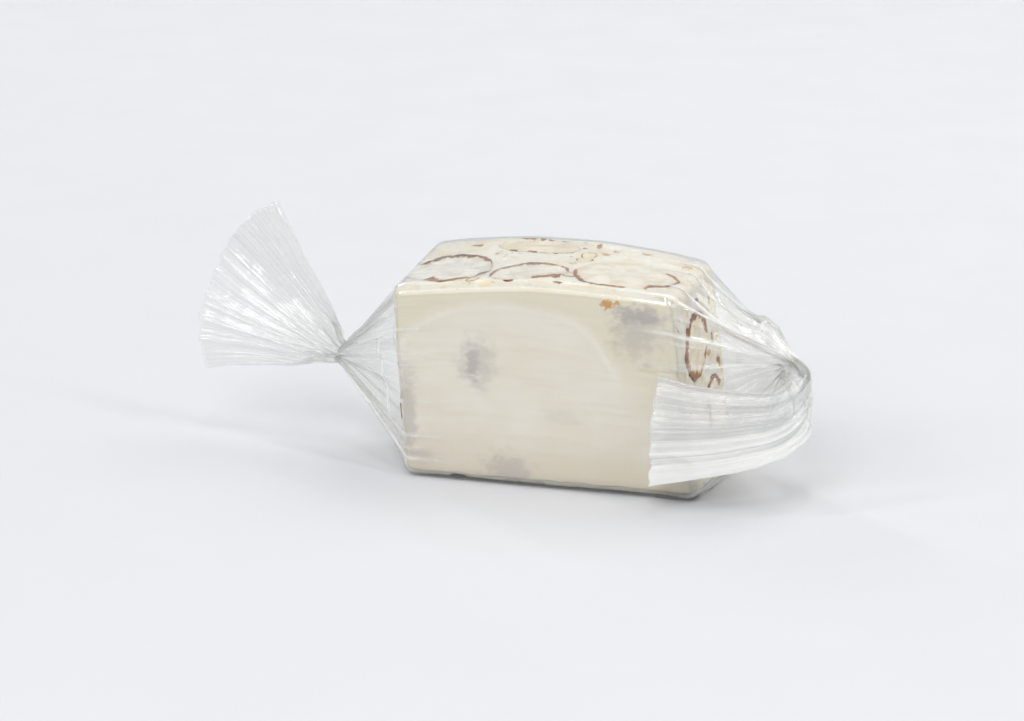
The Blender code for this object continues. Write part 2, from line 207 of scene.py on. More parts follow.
# A new node material, with short calls to add nodes and join them
class MaterialSketch:
    def __init__(self, name):
        self.material = bpy.data.materials.new(name)
        self.material.use_nodes = True
        self.tree = self.material.node_tree
        self.tree.nodes.clear()
        self.output = self.add("ShaderNodeOutputMaterial")

    def add(self, kind, settings=None, **inputs):
        node = self.tree.nodes.new(kind)
        for key, value in (settings or {}).items():
            setattr(node, key, value)
        for key, value in inputs.items():
            self.feed(node, key.replace("_", " "), value)
        return node

    def feed(self, node, socket, value):
        socket = node.inputs[int(socket)] if socket.isdigit() else node.inputs[socket]
        if isinstance(value, bpy.types.NodeSocket):
            self.tree.links.new(value, socket)
        else:
            socket.default_value = value

    def math(self, operation, first, second=0.0, third=0.0):
        node = self.add("ShaderNodeMath", {"operation": operation})
        for place, value in enumerate((first, second, third)):
            self.feed(node, str(place), value)
        return node.outputs[0]

    def times(self, *values):
        product = values[0]
        for value in values[1:]:
            product = self.math("MULTIPLY", product, value)
        return product

    def ramp(self, value, low, high, start=0.0, end=1.0):
        node = self.add("ShaderNodeMapRange", {"interpolation_type": "SMOOTHSTEP"}, Value=value)
        for key, number in (("From Min", low), ("From Max", high), ("To Min", start), ("To Max", end)):
            node.inputs[key].default_value = number
        return node.outputs["Result"]

    def mix(self, share, first, second):
        node = self.add("ShaderNodeMix", {"data_type": "RGBA"})
        self.feed(node, "0", share)
        self.feed(node, "6", first)
        self.feed(node, "7", second)
        return node.outputs[2]

    def objectPlace(self, scale=(1, 1, 1), turn=(0, 0, 0), shift=(0, 0, 0)):
        place = self.add("ShaderNodeTexCoord").outputs["Object"]
        return self.mapped(place, scale, turn, shift)

    def mapped(self, place, scale=(1, 1, 1), turn=(0, 0, 0), shift=(0, 0, 0)):
        node = self.add("ShaderNodeMapping", Vector=place, Scale=scale, Rotation=turn, Location=shift)
        return node.outputs["Vector"]

    def noise(self, place, scale, detail=3.0, roughness=0.55, distortion=0.0):
        node = self.add("ShaderNodeTexNoise", Vector=place, Scale=scale, Detail=detail)
        node.inputs["Roughness"].default_value = roughness
        node.inputs["Distortion"].default_value = distortion
        return node.outputs["Fac"]

    # Noise around 0, as far as the strength allows to either side of it
    def unsettled(self, place, scale, detail, strength, roughness=0.55):
        return self.times(self.math("SUBTRACT", self.noise(place, scale, detail, roughness), 0.5), strength)

    def group(self, tree, **inputs):
        node = self.add("ShaderNodeGroup")
        node.node_tree = tree
        for key, value in inputs.items():
            self.feed(node, key, value)
        return node.outputs

    def tone(self, place, scale, low, high, strength=1.0):
        return self.group(unevenTone, Vector=place, Scale=scale, Low=low, High=high, Strength=strength)

    # The mask of an uneven tone, from its row of scale, low, high and strength
    def mask(self, place, row):
        return self.tone(place, *row)["Mask"]

    # How far out a place lies in a blob with its middle and
    # half sizes in mm, 1 on its edge, unsettled by noise
    def blobReach(self, place, unsettled, centre, sizes):
        scale = [1 / (size * mm) if size else 0.0 for size in sizes]
        shift = [-at * mm * stretch for at, stretch in zip(centre, scale)]
        length = self.add("ShaderNodeVectorMath", {"operation": "LENGTH"})
        self.feed(length, "0", self.mapped(place, scale=scale, shift=shift))
        return self.math("ADD", length.outputs["Value"], unsettled)

    # The blob as a mask, from 0 at the outer reach to its strength at the inner reach
    def blob(self, place, unsettled, centre, sizes, outer, inner, strength):
        return self.ramp(self.blobReach(place, unsettled, centre, sizes), outer, inner, 0.0, strength)

    def number(self, name):
        return self.add("ShaderNodeAttribute", {"attribute_name": name}).outputs["Fac"]

    def bump(self, height, strength, distance):
        node = self.add("ShaderNodeBump", Height=height, Strength=strength, Distance=distance)
        return node.outputs["Normal"]

    # The Principled shader of a finish, with fixed values on its own sockets
    def principled(self, colour, normal, **fixed):
        shader = self.add("ShaderNodeBsdfPrincipled", Base_Color=colour)
        for socket, value in fixed.items():
            shader.inputs[socket.replace("_", " ")].default_value = value
        if normal is not None:
            self.feed(shader, "Normal", normal)
        return self.finish(shader)

    def finish(self, shader):
        self.tree.links.new(shader.outputs[0], self.output.inputs["Surface"])
        return self.material


# A screen colour, as 0 to 255 values, as the linear colour that a shader takes
def screenColour(red, green, blue):
    share = np.array([red, green, blue]) / 255
    linear = np.where(share <= 0.04045, share / 12.92, ((share + 0.055) / 1.055) ** 2.4)
    return (*linear.tolist(), 1.0)


# The colours of a finish by name, as a shader takes them
def tonesOf(colours):
    return {name: screenColour(*colour) for name, colour in colours.items()}


# Shared effects, each a node group built once

almondColours = {
    "white": (254, 251, 243), "ivory": (255, 246, 225), "grey": (219, 215, 205), "shade": (236, 219, 184),
    "core": (243, 239, 227), "cleft": (178, 156, 128), "inner": (216, 164, 92), "skin": (176, 112, 48),
    "skinDark": (110, 64, 24), "skinGrey": (76, 58, 44),
}


# A new node group with its inputs and outputs, as name to socket kind, and the nodes that hold them
def startGroup(name, inputs, outputs):
    group = bpy.data.node_groups.new(name, "ShaderNodeTree")
    for side, sockets in (("INPUT", inputs), ("OUTPUT", outputs)):
        for socketName, kind in sockets.items():
            group.interface.new_socket(socketName, in_out=side, socket_type="NodeSocket" + kind)
    return group, group.nodes.new("NodeGroupInput"), group.nodes.new("NodeGroupOutput")


# Uneven tone: layered noise, as a height and as a mask
# that rises smoothly from 0 at Low to Strength at High
def unevenToneGroup():
    inputs = {"Vector": "Vector", "Scale": "Float", "Low": "Float", "High": "Float", "Strength": "Float"}
    group, start, end = startGroup("uneven_tone", inputs, {"Mask": "Float", "Height": "Float"})
    noise = group.nodes.new("ShaderNodeTexNoise")
    noise.inputs["Detail"].default_value = 5
    noise.inputs["Roughness"].default_value = 0.6
    rise = group.nodes.new("ShaderNodeMapRange")
    rise.interpolation_type = "SMOOTHSTEP"
    links = (
        (start.outputs["Vector"], noise.inputs["Vector"]), (start.outputs["Scale"], noise.inputs["Scale"]),
        (noise.outputs["Fac"], rise.inputs["Value"]), (start.outputs["Low"], rise.inputs["From Min"]),
        (start.outputs["High"], rise.inputs["From Max"]), (start.outputs["Strength"], rise.inputs["To Max"]),
        (rise.outputs["Result"], end.inputs["Mask"]), (noise.outputs["Fac"], end.inputs["Height"]),
    )
    for output, socket in links:
        group.links.new(output, socket)
    return group


# Almond skin: a mottled brown between two tones, by fine noise
def almondSkinGroup():
    group, start, end = startGroup("almond_skin", {"Vector": "Vector", "Scale": "Float"}, {"Color": "Color"})
    noise = group.nodes.new("ShaderNodeTexNoise")
    noise.inputs["Detail"].default_value = 4
    tones = group.nodes.new("ShaderNodeValToRGB")
    for element, position, name in zip(tones.color_ramp.elements, (0.35, 0.62), ("skinDark", "skin")):
        element.position, element.color = position, screenColour(*almondColours[name])
    group.links.new(start.outputs["Vector"], noise.inputs["Vector"])
    group.links.new(start.outputs["Scale"], noise.inputs["Scale"])
    group.links.new(noise.outputs["Fac"], tones.inputs["Fac"])
    group.links.new(tones.outputs["Color"], end.inputs["Color"])
    return group


unevenTone = unevenToneGroup()
almondSkin = almondSkinGroup()

# Almonds

# Each almond's outline is a row of factors on its round form at every 30 degrees of its cut side, and its
# skins are arcs of start angle, sweep, width in mm and darkness. Angles run from +X to +Y on the top, and
# from the back up on the right end. Ivory runs from a white, patchy kernel at 0 to a yellowish one at 1
almonds = {
    "almond_top_left": {
        "middle": (-0.0126, -0.0028, 0.0117), "halfSizes": (0.0060, 0.0056, 0.0040), "turns": (8, 4, -12),
        "side": (0, 0, 1), "seed": 3, "ivory": 0.12,
        "outline": (1.06, 0.97, 0.92, 1.00, 1.04, 0.98, 1.10, 1.04, 0.94, 1.00, 1.08, 1.12),
        "skins": ((22, 44, 0.44, 0.5), (60, 58, 1.00, 0.8), (112, 46, 0.80, 1.0), (316, 26, 0.42, 0.5),
                  (238, 30, 1.15, 0.0), (262, 52, 0.60, 0.2)),
    },
    "almond_top_middle": {
        "middle": (-0.0014, -0.0047, 0.0122), "halfSizes": (0.0050, 0.0035, 0.0037), "turns": (0, 6, 16),
        "side": (0, 0, 1), "seed": 5, "ivory": 0.35,
        "outline": (1.10, 1.00, 0.94, 1.06, 0.96, 0.92, 1.04, 1.12, 0.98, 0.92, 0.96, 1.02),
        "skins": ((38, 44, 0.62, 0.2), (76, 50, 0.90, 0.3), (120, 56, 0.50, 0.6), (172, 34, 0.46, 0.8),
                  (284, 72, 0.50, 0.0), (6, 34, 0.34, 0.3)),
    },
    "almond_top_right": {
        "middle": (0.0103, -0.0030, 0.0124), "halfSizes": (0.0066, 0.0054, 0.0030), "turns": (0, -5, 4),
        "side": (0, 0, 1), "seed": 8, "ivory": 0.65,
        "outline": (1.04, 1.06, 0.98, 0.96, 0.97, 1.00, 1.06, 1.02, 0.98, 1.00, 0.99, 1.00),
        "skins": ((176, 40, 0.40, 0.2), (208, 44, 0.42, 0.1), (246, 44, 0.60, 0.1), (314, 30, 0.80, 0.2),
                  (338, 62, 0.34, 0.3)),
    },
    "almond_top_back": {
        "middle": (-0.0035, 0.0056, 0.0132), "halfSizes": (0.0056, 0.0028, 0.0034), "turns": (0, 0, -8),
        "side": (0, 0, 1), "seed": 12, "ivory": 0.8,
        "outline": (1.08, 1.00, 0.92, 0.96, 1.06, 1.04, 0.96, 1.04, 1.02, 0.92, 1.00, 1.06),
        "skins": ((110, 32, 0.70, 0.3), (82, 24, 0.95, 0.3), (54, 24, 0.80, 0.1), (206, 22, 0.40, 0.2),
                  (250, 34, 0.30, 0.1)),
    },
    "almond_right_upper": {
        "middle": (0.0184, -0.0028, 0.0052), "halfSizes": (0.0052, 0.0058, 0.0038), "turns": (6, 0, 8),
        "side": (1, 0, 0), "seed": 15, "ivory": 1.0,
        "outline": (0.98, 1.02, 1.04, 1.06, 1.04, 0.98, 0.96, 1.02, 1.10, 1.04, 0.94, 0.92),
        "skins": ((0, 66, 1.00, 0.4), (50, 70, 0.70, 0.5), (104, 50, 0.75, 0.5), (140, 62, 1.10, 0.3),
                  (190, 66, 1.05, 0.3), (246, 56, 0.65, 0.3), (318, 30, 0.60, 0.3)),
    },
    "almond_right_lower": {
        "middle": (0.0186, 0.0034, -0.0056), "halfSizes": (0.0054, 0.0042, 0.0052), "turns": (0, 12, 0),
        "side": (1, 0, 0), "seed": 19, "ivory": 0.7,
        "outline": (1.02, 1.06, 0.96, 1.00, 1.08, 0.96, 0.92, 1.04, 1.06, 0.98, 0.94, 1.00),
        "skins": ((50, 80, 0.60, 0.4), (140, 60, 0.80, 0.2), (224, 60, 0.50, 0.4), (330, 50, 0.60, 0.2)),
    },
    "almond_left_upper": {
        "middle": (-0.0184, 0.0034, 0.0032), "halfSizes": (0.0060, 0.0050, 0.0042), "turns": (0, -8, 10),
        "side": (-1, 0, 0), "seed": 23, "ivory": 0.3,
        "outline": (1.00, 0.94, 1.02, 1.10, 1.00, 0.92, 0.98, 1.08, 1.06, 0.96, 0.92, 1.04),
        "skins": ((10, 60, 0.30, 0.2), (96, 40, 0.22, 0.3), (160, 76, 0.46, 0.6), (270, 50, 0.24, 0.1)),
    },
    "almond_left_lower": {
        "middle": (-0.0185, -0.0046, -0.0056), "halfSizes": (0.0050, 0.0038, 0.0052), "turns": (14, 0, 0),
        "side": (-1, 0, 0), "seed": 28, "ivory": 0.6,
        "outline": (1.08, 1.02, 0.94, 0.98, 1.04, 1.00, 0.92, 1.00, 1.08, 1.04, 0.94, 0.98),
        "skins": ((340, 66, 0.44, 0.5), (70, 36, 0.22, 0.2), (150, 60, 0.30, 0.3), (250, 44, 0.36, 0.7)),
    },
    "almond_bottom_left": {
        "middle": (-0.0078, 0.0034, -0.0121), "halfSizes": (0.0066, 0.0046, 0.0042), "turns": (0, 4, 20),
        "side": (0, 0, -1), "seed": 31, "ivory": 0.4,
        "outline": (1.04, 1.08, 0.96, 0.92, 1.02, 1.06, 0.98, 0.94, 1.04, 1.08, 0.98, 0.94),
        "skins": ((350, 50, 0.36, 0.4), (70, 70, 0.24, 0.1), (190, 40, 0.42, 0.6), (260, 60, 0.22, 0.3)),
    },
    "almond_bottom_middle": {
        "middle": (0.0030, -0.0036, -0.0119), "halfSizes": (0.0050, 0.0046, 0.0040), "turns": (0, 0, -14),
        "side": (0, 0, -1), "seed": 35, "ivory": 0.1,
        "outline": (0.96, 1.02, 1.08, 1.00, 0.92, 0.98, 1.06, 1.04, 0.94, 0.96, 1.06, 1.02),
        "skins": ((80, 80, 0.34, 0.3), (200, 50, 0.22, 0.2), (290, 50, 0.40, 0.6)),
    },
    "almond_bottom_right": {
        "middle": (0.0112, 0.0044, -0.0124), "halfSizes": (0.0046, 0.0036, 0.0030), "turns": (0, 0, 24),
        "side": (0, 0, -1), "seed": 39, "ivory": 0.8,
        "outline": (1.06, 0.96, 0.94, 1.04, 1.06, 0.96, 1.02, 1.08, 0.96, 0.92, 1.00, 1.08),
        "skins": ((200, 90, 0.34, 0.3), (20, 60, 0.26, 0.4), (120, 30, 0.40, 0.2)),
    },
}
almondForm = {
    "taper": 0.28, "longest": 0.009, "halvings": 26, "around": 240, "faceRings": 56, "bodyRings": 26,
    "thinSkin": 0.02, "skinEnd": 8, "cleftSlant": 0.12, "wander": 0.0007, "denserOutwards": 1.7,
    "towardsDeepest": 1.2, "outline": ((1.6, 0, 0.05), (4.5, 1, 0.035), (14, 8, 0.026)),
    "ragged": ((2.5, 2, 0.35), (9, 3, 0.30), (26, 4, 0.18)), "grainSize": 0.0016, "patchSize": 0.0026,
    "patchStretch": (1, 1.7, 1), "fineSize": 0.0005, "cleftSizes": (0.0035, 0.003),
    "cleftEnds": (-0.0050, -0.0032),
}
# Relief of a cut face in mm: each kind's height or depth, and the widths of the fine lines
almondRelief = {
    "grain": 0.05, "sunk": 0.03, "patches": 0.07, "skin": 0.07, "split": 0.10, "splitWidth": 0.08,
    "cleft": 0.16, "cleftWidth": 0.11, "rim": 0.05, "rimWidth": 0.06,
}


# Points in an almond's own place and turn
def almondLocal(points, almond):
    turn = np.array(Euler([math.radians(angle) for angle in almond["turns"]]).to_matrix())
    return (points - np.array(almond["middle"])) @ turn


# How far out a point lies in an almond: 0 in its middle, 1
# on its skin. Its tip, at +X before turning, is narrower
def almondReach(points, almond):
    local = almondLocal(points, almond) / np.array(almond["halfSizes"])
    narrowing = 1 - almondForm["taper"] * np.clip(local[:, 0], 0, 1) ** 2
    return np.sqrt(local[:, 0] ** 2 + (local[:, 1] / narrowing) ** 2 + (local[:, 2] / narrowing) ** 2)


# The greatest length along each ray that stays inside the
# almond, by halving; on the face, rays follow the nougat
def lengthInside(starts, directions, almond, onFace=False):
    low = np.zeros(len(starts))
    high = np.full(len(starts), almondForm["longest"])
    for _ in range(almondForm["halvings"]):
        middle = (low + high) / 2
        places = starts + directions * middle[:, None]
        inside = almondReach(ontoNougat(places) if onFace else places, almond) < 1
        low = np.where(inside, middle, low)
        high = np.where(inside, high, middle)
    return low


# The cut side of an almond: the way out of it, the two ways along it and its middle on the block's face
def cutSide(almond):
    side = np.array(almond["side"], float)
    first = np.array((0, 1, 0) if abs(side[0]) else (1, 0, 0), float)
    middle = np.where(side != 0, side * nougatHalfSizes, almond["middle"])
    return side, first, np.cross(side, first), middle


def aroundCircle(angles):
    return np.stack([np.cos(angles), np.sin(angles), np.zeros(len(angles))], axis=1)


# Noise round a circle: a sum of layers, each with how
# often it turns, what is added to the seed, and its height
def roundNoise(around, seed, layers):
    return sum(softNoise(around * often, 1.0, seed + more) * high for often, more, high in layers)


# The outline's factor on the almond's round form at angles
# of its cut side: the row of factors, blended, and noise
def outlineFactor(almond, angles):
    stops = np.arange(12) / 12 * 2 * math.pi
    turned = [
        np.interp(angles + turn, stops, almond["outline"], period=2 * math.pi)
        for turn in np.linspace(-0.2, 0.2, 9)
    ]
    around = aroundCircle(angles)
    wobble = roundNoise(around, almond["seed"], almondForm["outline"])
    return np.mean(turned, axis=0) * (1 + wobble)


# One almond: a cut face of rings from its middle out to
# the skin, then the round body down to its deepest point
def almondGrid(almond):
    side, first, second, faceMiddle = cutSide(almond)
    middle = np.array(almond["middle"])
    angles = np.arange(almondForm["around"]) / almondForm["around"] * 2 * math.pi
    directions = np.outer(np.cos(angles), first) + np.outer(np.sin(angles), second)
    starts = np.repeat(faceMiddle[None], len(angles), axis=0)
    radii = lengthInside(starts, directions, almond, onFace=True) * outlineFactor(almond, angles)
    shares = np.linspace(0, 1, almondForm["faceRings"] + 1)[1:]
    shares = 1 - (1 - shares) ** almondForm["denserOutwards"]
    flatPlaces = starts[None] + directions[None] * (radii[None] * shares[:, None])[..., None]
    faceRings = ontoNougat(flatPlaces.reshape(-1, 3)).reshape(flatPlaces.shape)
    rimWays = faceRings[-1] - middle
    rimWays /= np.linalg.norm(rimWays, axis=1, keepdims=True)
    bodyRings = []
    for share in np.linspace(0, 1, almondForm["bodyRings"] + 1)[1:-1]:
        ways = rimWays * (1 - share) - side * share * almondForm["towardsDeepest"]
        ways /= np.linalg.norm(ways, axis=1, keepdims=True)
        lengths = lengthInside(np.repeat(middle[None], len(ways), axis=0), ways, almond)
        bodyRings.append(middle + ways * lengths[:, None])
    deepest = middle - side * lengthInside(middle[None], -side[None], almond)[0]
    return faceMiddle, faceRings, np.array(bodyRings), deepest, radii, angles, shares


# The skin's width round the cut face and how dark it is:
# its arcs, ragged along the way, with next to none between
def skinArcs(almond, angles):
    around = aroundCircle(angles)
    uneven = 1 + roundNoise(around, almond["seed"], almondForm["ragged"])
    width, dark = np.full(len(angles), almondForm["thinSkin"] * mm), np.zeros(len(angles))
    for start, sweep, arcWidth, arcDark in almond["skins"]:
        into = (np.degrees(angles) - start) % 360
        inside = ease(into, 0, almondForm["skinEnd"]) * ease(sweep - into, 0, almondForm["skinEnd"])
        width = np.maximum(width, arcWidth * mm * inside * np.maximum(uneven, 0.3))
        dark = np.maximum(dark, arcDark * inside)
    return width, dark


# The cleft between an almond's two halves: a wandering thin
# line along its cut face, fading in and out, 1 on the line
def almondCleft(points, almond, side):
    local = almondLocal(points, almond)
    across = local[:, 1] if side[2] else local[:, 2]
    along = local[:, 0] if side[2] else local[:, 1]
    wanderSize, fieldSize = almondForm["cleftSizes"]
    wander = almondForm["wander"] * softNoise(points, wanderSize, almond["seed"] + 11)
    wander += along * almondForm["cleftSlant"]
    line = np.exp(-(((across - wander) / (almondRelief["cleftWidth"] * mm)) ** 2))
    line *= ease(softNoise(points, fieldSize, almond["seed"] + 12), -0.5, 0.1)
    return line * ease(-np.abs(along), *almondForm["cleftEnds"])


# An almond as one closed grid, its cut face lifted by grain and patches, raised along
# the skin, and sunk along the split beside the skin, along the cleft and on the very rim
def makeAlmond(name, almond, material):
    faceMiddle, faceRings, bodyRings, deepest, radii, angles, shares = almondGrid(almond)
    relief = {kind: height * mm for kind, height in almondRelief.items()}
    around = len(angles)
    thickness, dark = skinArcs(almond, angles)
    fromRim = radii[None] * (1 - shares[:, None])
    inSkin = np.clip(1.5 - fromRim / thickness[None], 0, 1)
    side = np.array(almond["side"], float)
    flat = faceRings.reshape(-1, 3)
    grain = layeredNoise(flat, almondForm["grainSize"], almond["seed"] + 6)
    grain = relief["grain"] * grain - relief["sunk"]
    stretched = flat * almondForm["patchStretch"]
    patches = layeredNoise(stretched, almondForm["patchSize"], almond["seed"] + 13, 2)
    grain += (1 - almond["ivory"]) * relief["patches"] * patches
    split = np.exp(-(((fromRim - thickness * 1.15) / relief["splitWidth"]) ** 2))
    cleft = almondCleft(flat, almond, side).reshape(inSkin.shape)
    fine = softNoise(flat, almondForm["fineSize"], almond["seed"] + 7).reshape(inSkin.shape)
    rim = np.exp(-((fromRim / relief["rimWidth"]) ** 2))
    lift = grain.reshape(inSkin.shape) + relief["skin"] * inSkin * (0.6 + 0.4 * fine)
    lift -= relief["split"] * split + relief["cleft"] * cleft + relief["rim"] * rim
    faceRings = faceRings + lift[..., None] * side
    flat, below = faceRings.reshape(-1, 3), bodyRings.reshape(-1, 3)
    points = np.concatenate([faceMiddle[None], flat, below, deepest[None]])
    rings = len(faceRings) + len(bodyRings)
    quads = gridFaces(rings, around, goesRound=True) + 1
    nearFan = [(0, 1 + step, 1 + (step + 1) % around) for step in range(around)]
    last = 1 + (rings - 1) * around
    farFan = [(len(points) - 1, last + (step + 1) % around, last + step) for step in range(around)]
    faces = quads[:, ::-1].tolist() + nearFan + farFan
    piece = makePiece(name + "_kernel", settle(points + (0, 0, middleHeight)), faces, material)
    body = np.ones(len(bodyRings) * around)
    for kind, onFace, onBody, atEnd in (
        ("skin", inSkin.ravel(), body, 1.0), ("outwards", np.repeat(shares, around), body, 1.0),
        ("cleft", cleft.ravel(), 0 * body, 0.0), ("dark", np.tile(dark, rings), [], 0.5),
    ):
        addNumbers(piece, kind, np.concatenate([[0.0], onFace, onBody, [atEnd]]))
    addNumbers(piece, "ivory", np.full(len(points), almond["ivory"]))
    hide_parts(name)


# Nougat

# Depths in metres; then each noise as its size, its seed and its count of layers or share of pits
nougatLook = {
    "step": 0.00023, "crag": 0.00022, "pit": 0.00040, "smear": 0.00010, "tear": 0.00022, "pocket": 0.0011,
    "lumps": (0.0042, 41, 4), "smears": (0.0022, 47), "smearStretch": (0.35, 1.6, 1.0),
    "largePits": (0.0026, 51, 0.35), "smallPits": (0.0012, 61, 0.4), "smallPitShare": 0.7,
    "tears": (0.0034, 71), "tearWidth": 0.10, "tearFields": (0.006, 77), "pocketEdge": (0.02, 0.0009),
}


# The block: a welded box grid laid on the round-edged form, smooth under the wafers. Its
# cut sides sink by lumps, pits, knife smears and tears, and by a pocket for each almond
def makeNougat(material):
    counts = np.round(2 * nougatHalfSizes / nougatLook["step"]).astype(int)
    unit, faces = boxGrid(counts)
    points, outwards = ontoRoundedBox(unit * nougatHalfSizes, nougatHalfSizes, block["nougatRounding"])
    onCutSide = np.clip(1 - (np.abs(outwards[:, 1]) - 0.75) / 0.2, 0, 1)
    lumps = layeredNoise(points, *nougatLook["lumps"])
    smears = layeredNoise(points * nougatLook["smearStretch"], *nougatLook["smears"])
    smallPits = nougatLook["smallPitShare"] * pitNoise(points, *nougatLook["smallPits"])
    pits = np.maximum(pitNoise(points, *nougatLook["largePits"]), smallPits)
    tears = np.abs(layeredNoise(points, *nougatLook["tears"])) / nougatLook["tearWidth"]
    tears = np.clip(1 - tears, 0, 1)
    tears *= ease(softNoise(points, *nougatLook["tearFields"]), 0.0, 0.4)
    depth = nougatLook["crag"] * np.clip(0.30 + 0.70 * lumps, 0, 1)
    depth += nougatLook["smear"] * (0.3 + 0.5 * smears)
    depth = (depth + nougatLook["pit"] * pits + nougatLook["tear"] * tears) * onCutSide
    edgeHeight, edgeSize = nougatLook["pocketEdge"]
    for almond in almonds.values():
        _, first, second, middle = cutSide(almond)
        angles = np.arctan2((points - middle) @ second, (points - middle) @ first)
        reach = almondReach(middle + (points - middle) / outlineFactor(almond, angles)[:, None], almond)
        edge = 1 + edgeHeight * softNoise(points, edgeSize, almond["seed"] + 9)
        depth = between(depth, nougatLook["pocket"], ease(-reach, -edge - 0.005, -edge + 0.06))
    points = points - outwards * depth[:, None]
    piece = makePiece("nougat_block", settle(points + (0, 0, middleHeight)), faces, material)
    # The pits and tears, which the finish darkens with painted shade
    addNumbers(piece, "pit", np.clip(np.maximum(pits, 0.6 * tears) * onCutSide, 0, 1))
    addNumbers(piece, "cut", onCutSide)
    addNumbers(piece, "end", ease(np.abs(outwards[:, 0]), 0.3, 0.9))
    # The strip where the cut side turns towards a wafer, which the finish dulls with painted shade
    addNumbers(piece, "edge", ease(np.abs(outwards[:, 1]), 0.15, 0.55))
    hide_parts("nougat")


# Wafers

waferLook = {
    "step": 0.00030, "overEdge": 0.0009, "fibre": 0.00004, "wave": 0.00008, "ragged": 0.00022,
    "frayed": 0.0001, "raggedSize": 0.0016, "frayedSize": 0.0005, "fibreSize": 0.0012,
    "fibreStretch": (0.25, 1, 2.2), "waveSize": 0.007,
}


# A sheet over one side of the block: a welded thin box laid on the
# round-edged form, with fibres and waves on its outer side and a worn edge
def makeWafer(name, side, node, material, seed):
    lengths = 2 * (halfSizes - block["rounding"] + waferLook["overEdge"])
    counts = (round(lengths[0] / waferLook["step"]), 2, round(lengths[2] / waferLook["step"]))
    unit, faces = boxGrid(counts)
    along = unit[:, 0] * lengths[0] / 2
    up = unit[:, 2] * lengths[2] / 2
    spread = np.stack([along, np.zeros(len(along)), up], axis=1)
    nearEdge = np.maximum(np.abs(unit[:, 0]), np.abs(unit[:, 2]))
    ragged = waferLook["ragged"] * softNoise(spread, waferLook["raggedSize"], seed)
    ragged += waferLook["frayed"] * softNoise(spread, waferLook["frayedSize"], seed + 1)
    shrink = 1 + ragged / block["halfHeight"] * ease(nearEdge, 0.9, 1.0)
    flat = np.stack([along * shrink, np.full(len(along), side * block["halfDepth"]), up * shrink], axis=1)
    points, outwards = ontoRoundedBox(flat, halfSizes, block["rounding"])
    fibres = layeredNoise(spread * waferLook["fibreStretch"], waferLook["fibreSize"], seed + 2)
    fibres *= waferLook["fibre"]
    waves = softNoise(spread, waferLook["waveSize"], seed + 5) * waferLook["wave"]
    outerShare = (unit[:, 1] * side + 1) / 2
    depth = (1 - outerShare) * block["waferThickness"] - fibres * outerShare - waves + waferLook["wave"]
    points = points - outwards * depth[:, None]
    piece = makePiece(name, settle(points + (0, 0, middleHeight)), faces, material)
    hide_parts(node)


# Film

film = {
    "wall": 0.00008, "offset": 0.00011, "lift": 0.00022, "leaves": 0.70, "floorGap": 0.00002,
    "neckRadius": 0.0021, "tailHalfThickness": 0.00042,
    "around": 320, "tailAround": 432, "sleeveSteps": 44, "gatherSteps": 54, "tailSteps": 96,
    "pleats": 15, "finePleats": 37, "pleatDepth": 0.0015, "finePleatDepth": 0.0005, "seed": 71,
    "frontCrease": {"height": 0.0163, "length": 0.0085, "width": 0.0005, "lift": 0.00035},
    # The white of the fold lines and bold creases is partly whitened film and partly painted highlight
    "creaseHeight": 0.00030, "creaseColumns": 1.7, "plainFold": 0.45, "foldWidth": 0.004,
    "wave": 0.00005, "ridge": 0.00005, "waveSize": 0.006, "ridgeSize": 0.009, "endFold": 0.0002,
    "closerAtEnds": 1.35, "uvLength": 0.1, "crumpleSizes": (0.0046, 0.0030), "neckFolds": (0.60, 0.25),
    "tailFolds": (1, 0.42, 0.34), "cutFolds": 9, "tailLineWidths": (0.005, 0.003), "fineLineWidth": 0.003,
    # The right flap's milky white is partly the haze of its layers and partly a painted broad highlight
    "milkAndSheenFrom": (-0.60, -0.28), "leastMilkAndSheen": 0.42, "shoulderPlace": 0.17, "shoulderWidth": 0.07,
    "foldFade": 0.005, "lineFade": 0.0020, "creaseFade": 0.0035,
}
# The film beyond each end of the block: its middle line from the block's end
# to the tip, x outwards, where on it the neck lies, the tail's spread, slant,
# folds and cut end, the gather's belly and shoulder, and its bold creases
filmEnds = {
    -1: {
        "line": (
            (0.0000, 0.0000, 0.0000), (0.0050, 0.0000, -0.0002), (0.0104, 0.0000, 0.0000),
            (0.0134, -0.0004, 0.0018), (0.0174, -0.0006, 0.0044), (0.0220, -0.0004, 0.0074),
            (0.0268, 0.0000, 0.0106),
        ),
        "neck": 0.355, "fan": 0.64, "slant": 0.14, "twist": 0.10, "tailPleats": 10, "tailDepth": 0.0010,
        "tailCurl": 0.0010, "crumple": 0.00016, "raggedEnd": 0.0006, "belly": 0.0006, "shoulder": 0.0,
        "scoop": 0.0, "milkAndSheen": 0.0, "lowHalf": 1.0,
        "creases": ((0.345, 0.9, 1.0), (0.420, 0.5, 0.8), (0.585, 0.7, 1.0), (0.620, 0.9, 1.0),
                    (0.240, 0.5, 0.9)),
        "crossing": ((0.40, 0.36), (0.61, 0.16), 0.9),
    },
    1: {
        "line": (
            (0.0000, 0.0000, 0.0000), (0.0055, -0.0008, 0.0016), (0.0102, -0.0026, 0.0036),
            (0.0134, -0.0062, 0.0018), (0.0116, -0.0110, -0.0014), (0.0052, -0.0136, -0.0026),
            (-0.0040, -0.0136, -0.0036),
        ),
        "neck": 0.335, "fan": 0.20, "slant": -0.24, "twist": -0.08, "tailPleats": 4, "tailDepth": 0.0007,
        "tailCurl": 0.0004, "crumple": 0.00022, "raggedEnd": 0.0004, "belly": 0.0034, "shoulder": 0.0018,
        "scoop": 0.0022, "milkAndSheen": 0.74, "lowHalf": 0.86,
        "creases": ((0.185, 1.0, 1.0), (0.225, 0.5, 0.8), (0.300, 0.8, 0.75), (0.350, 1.0, 0.95),
                    (0.405, 0.9, 0.55), (0.455, 0.4, 0.9), (0.640, 0.7, 1.0)),
        "crossing": ((0.12, 0.80), (0.24, 0.62), 0.9),
    },
}


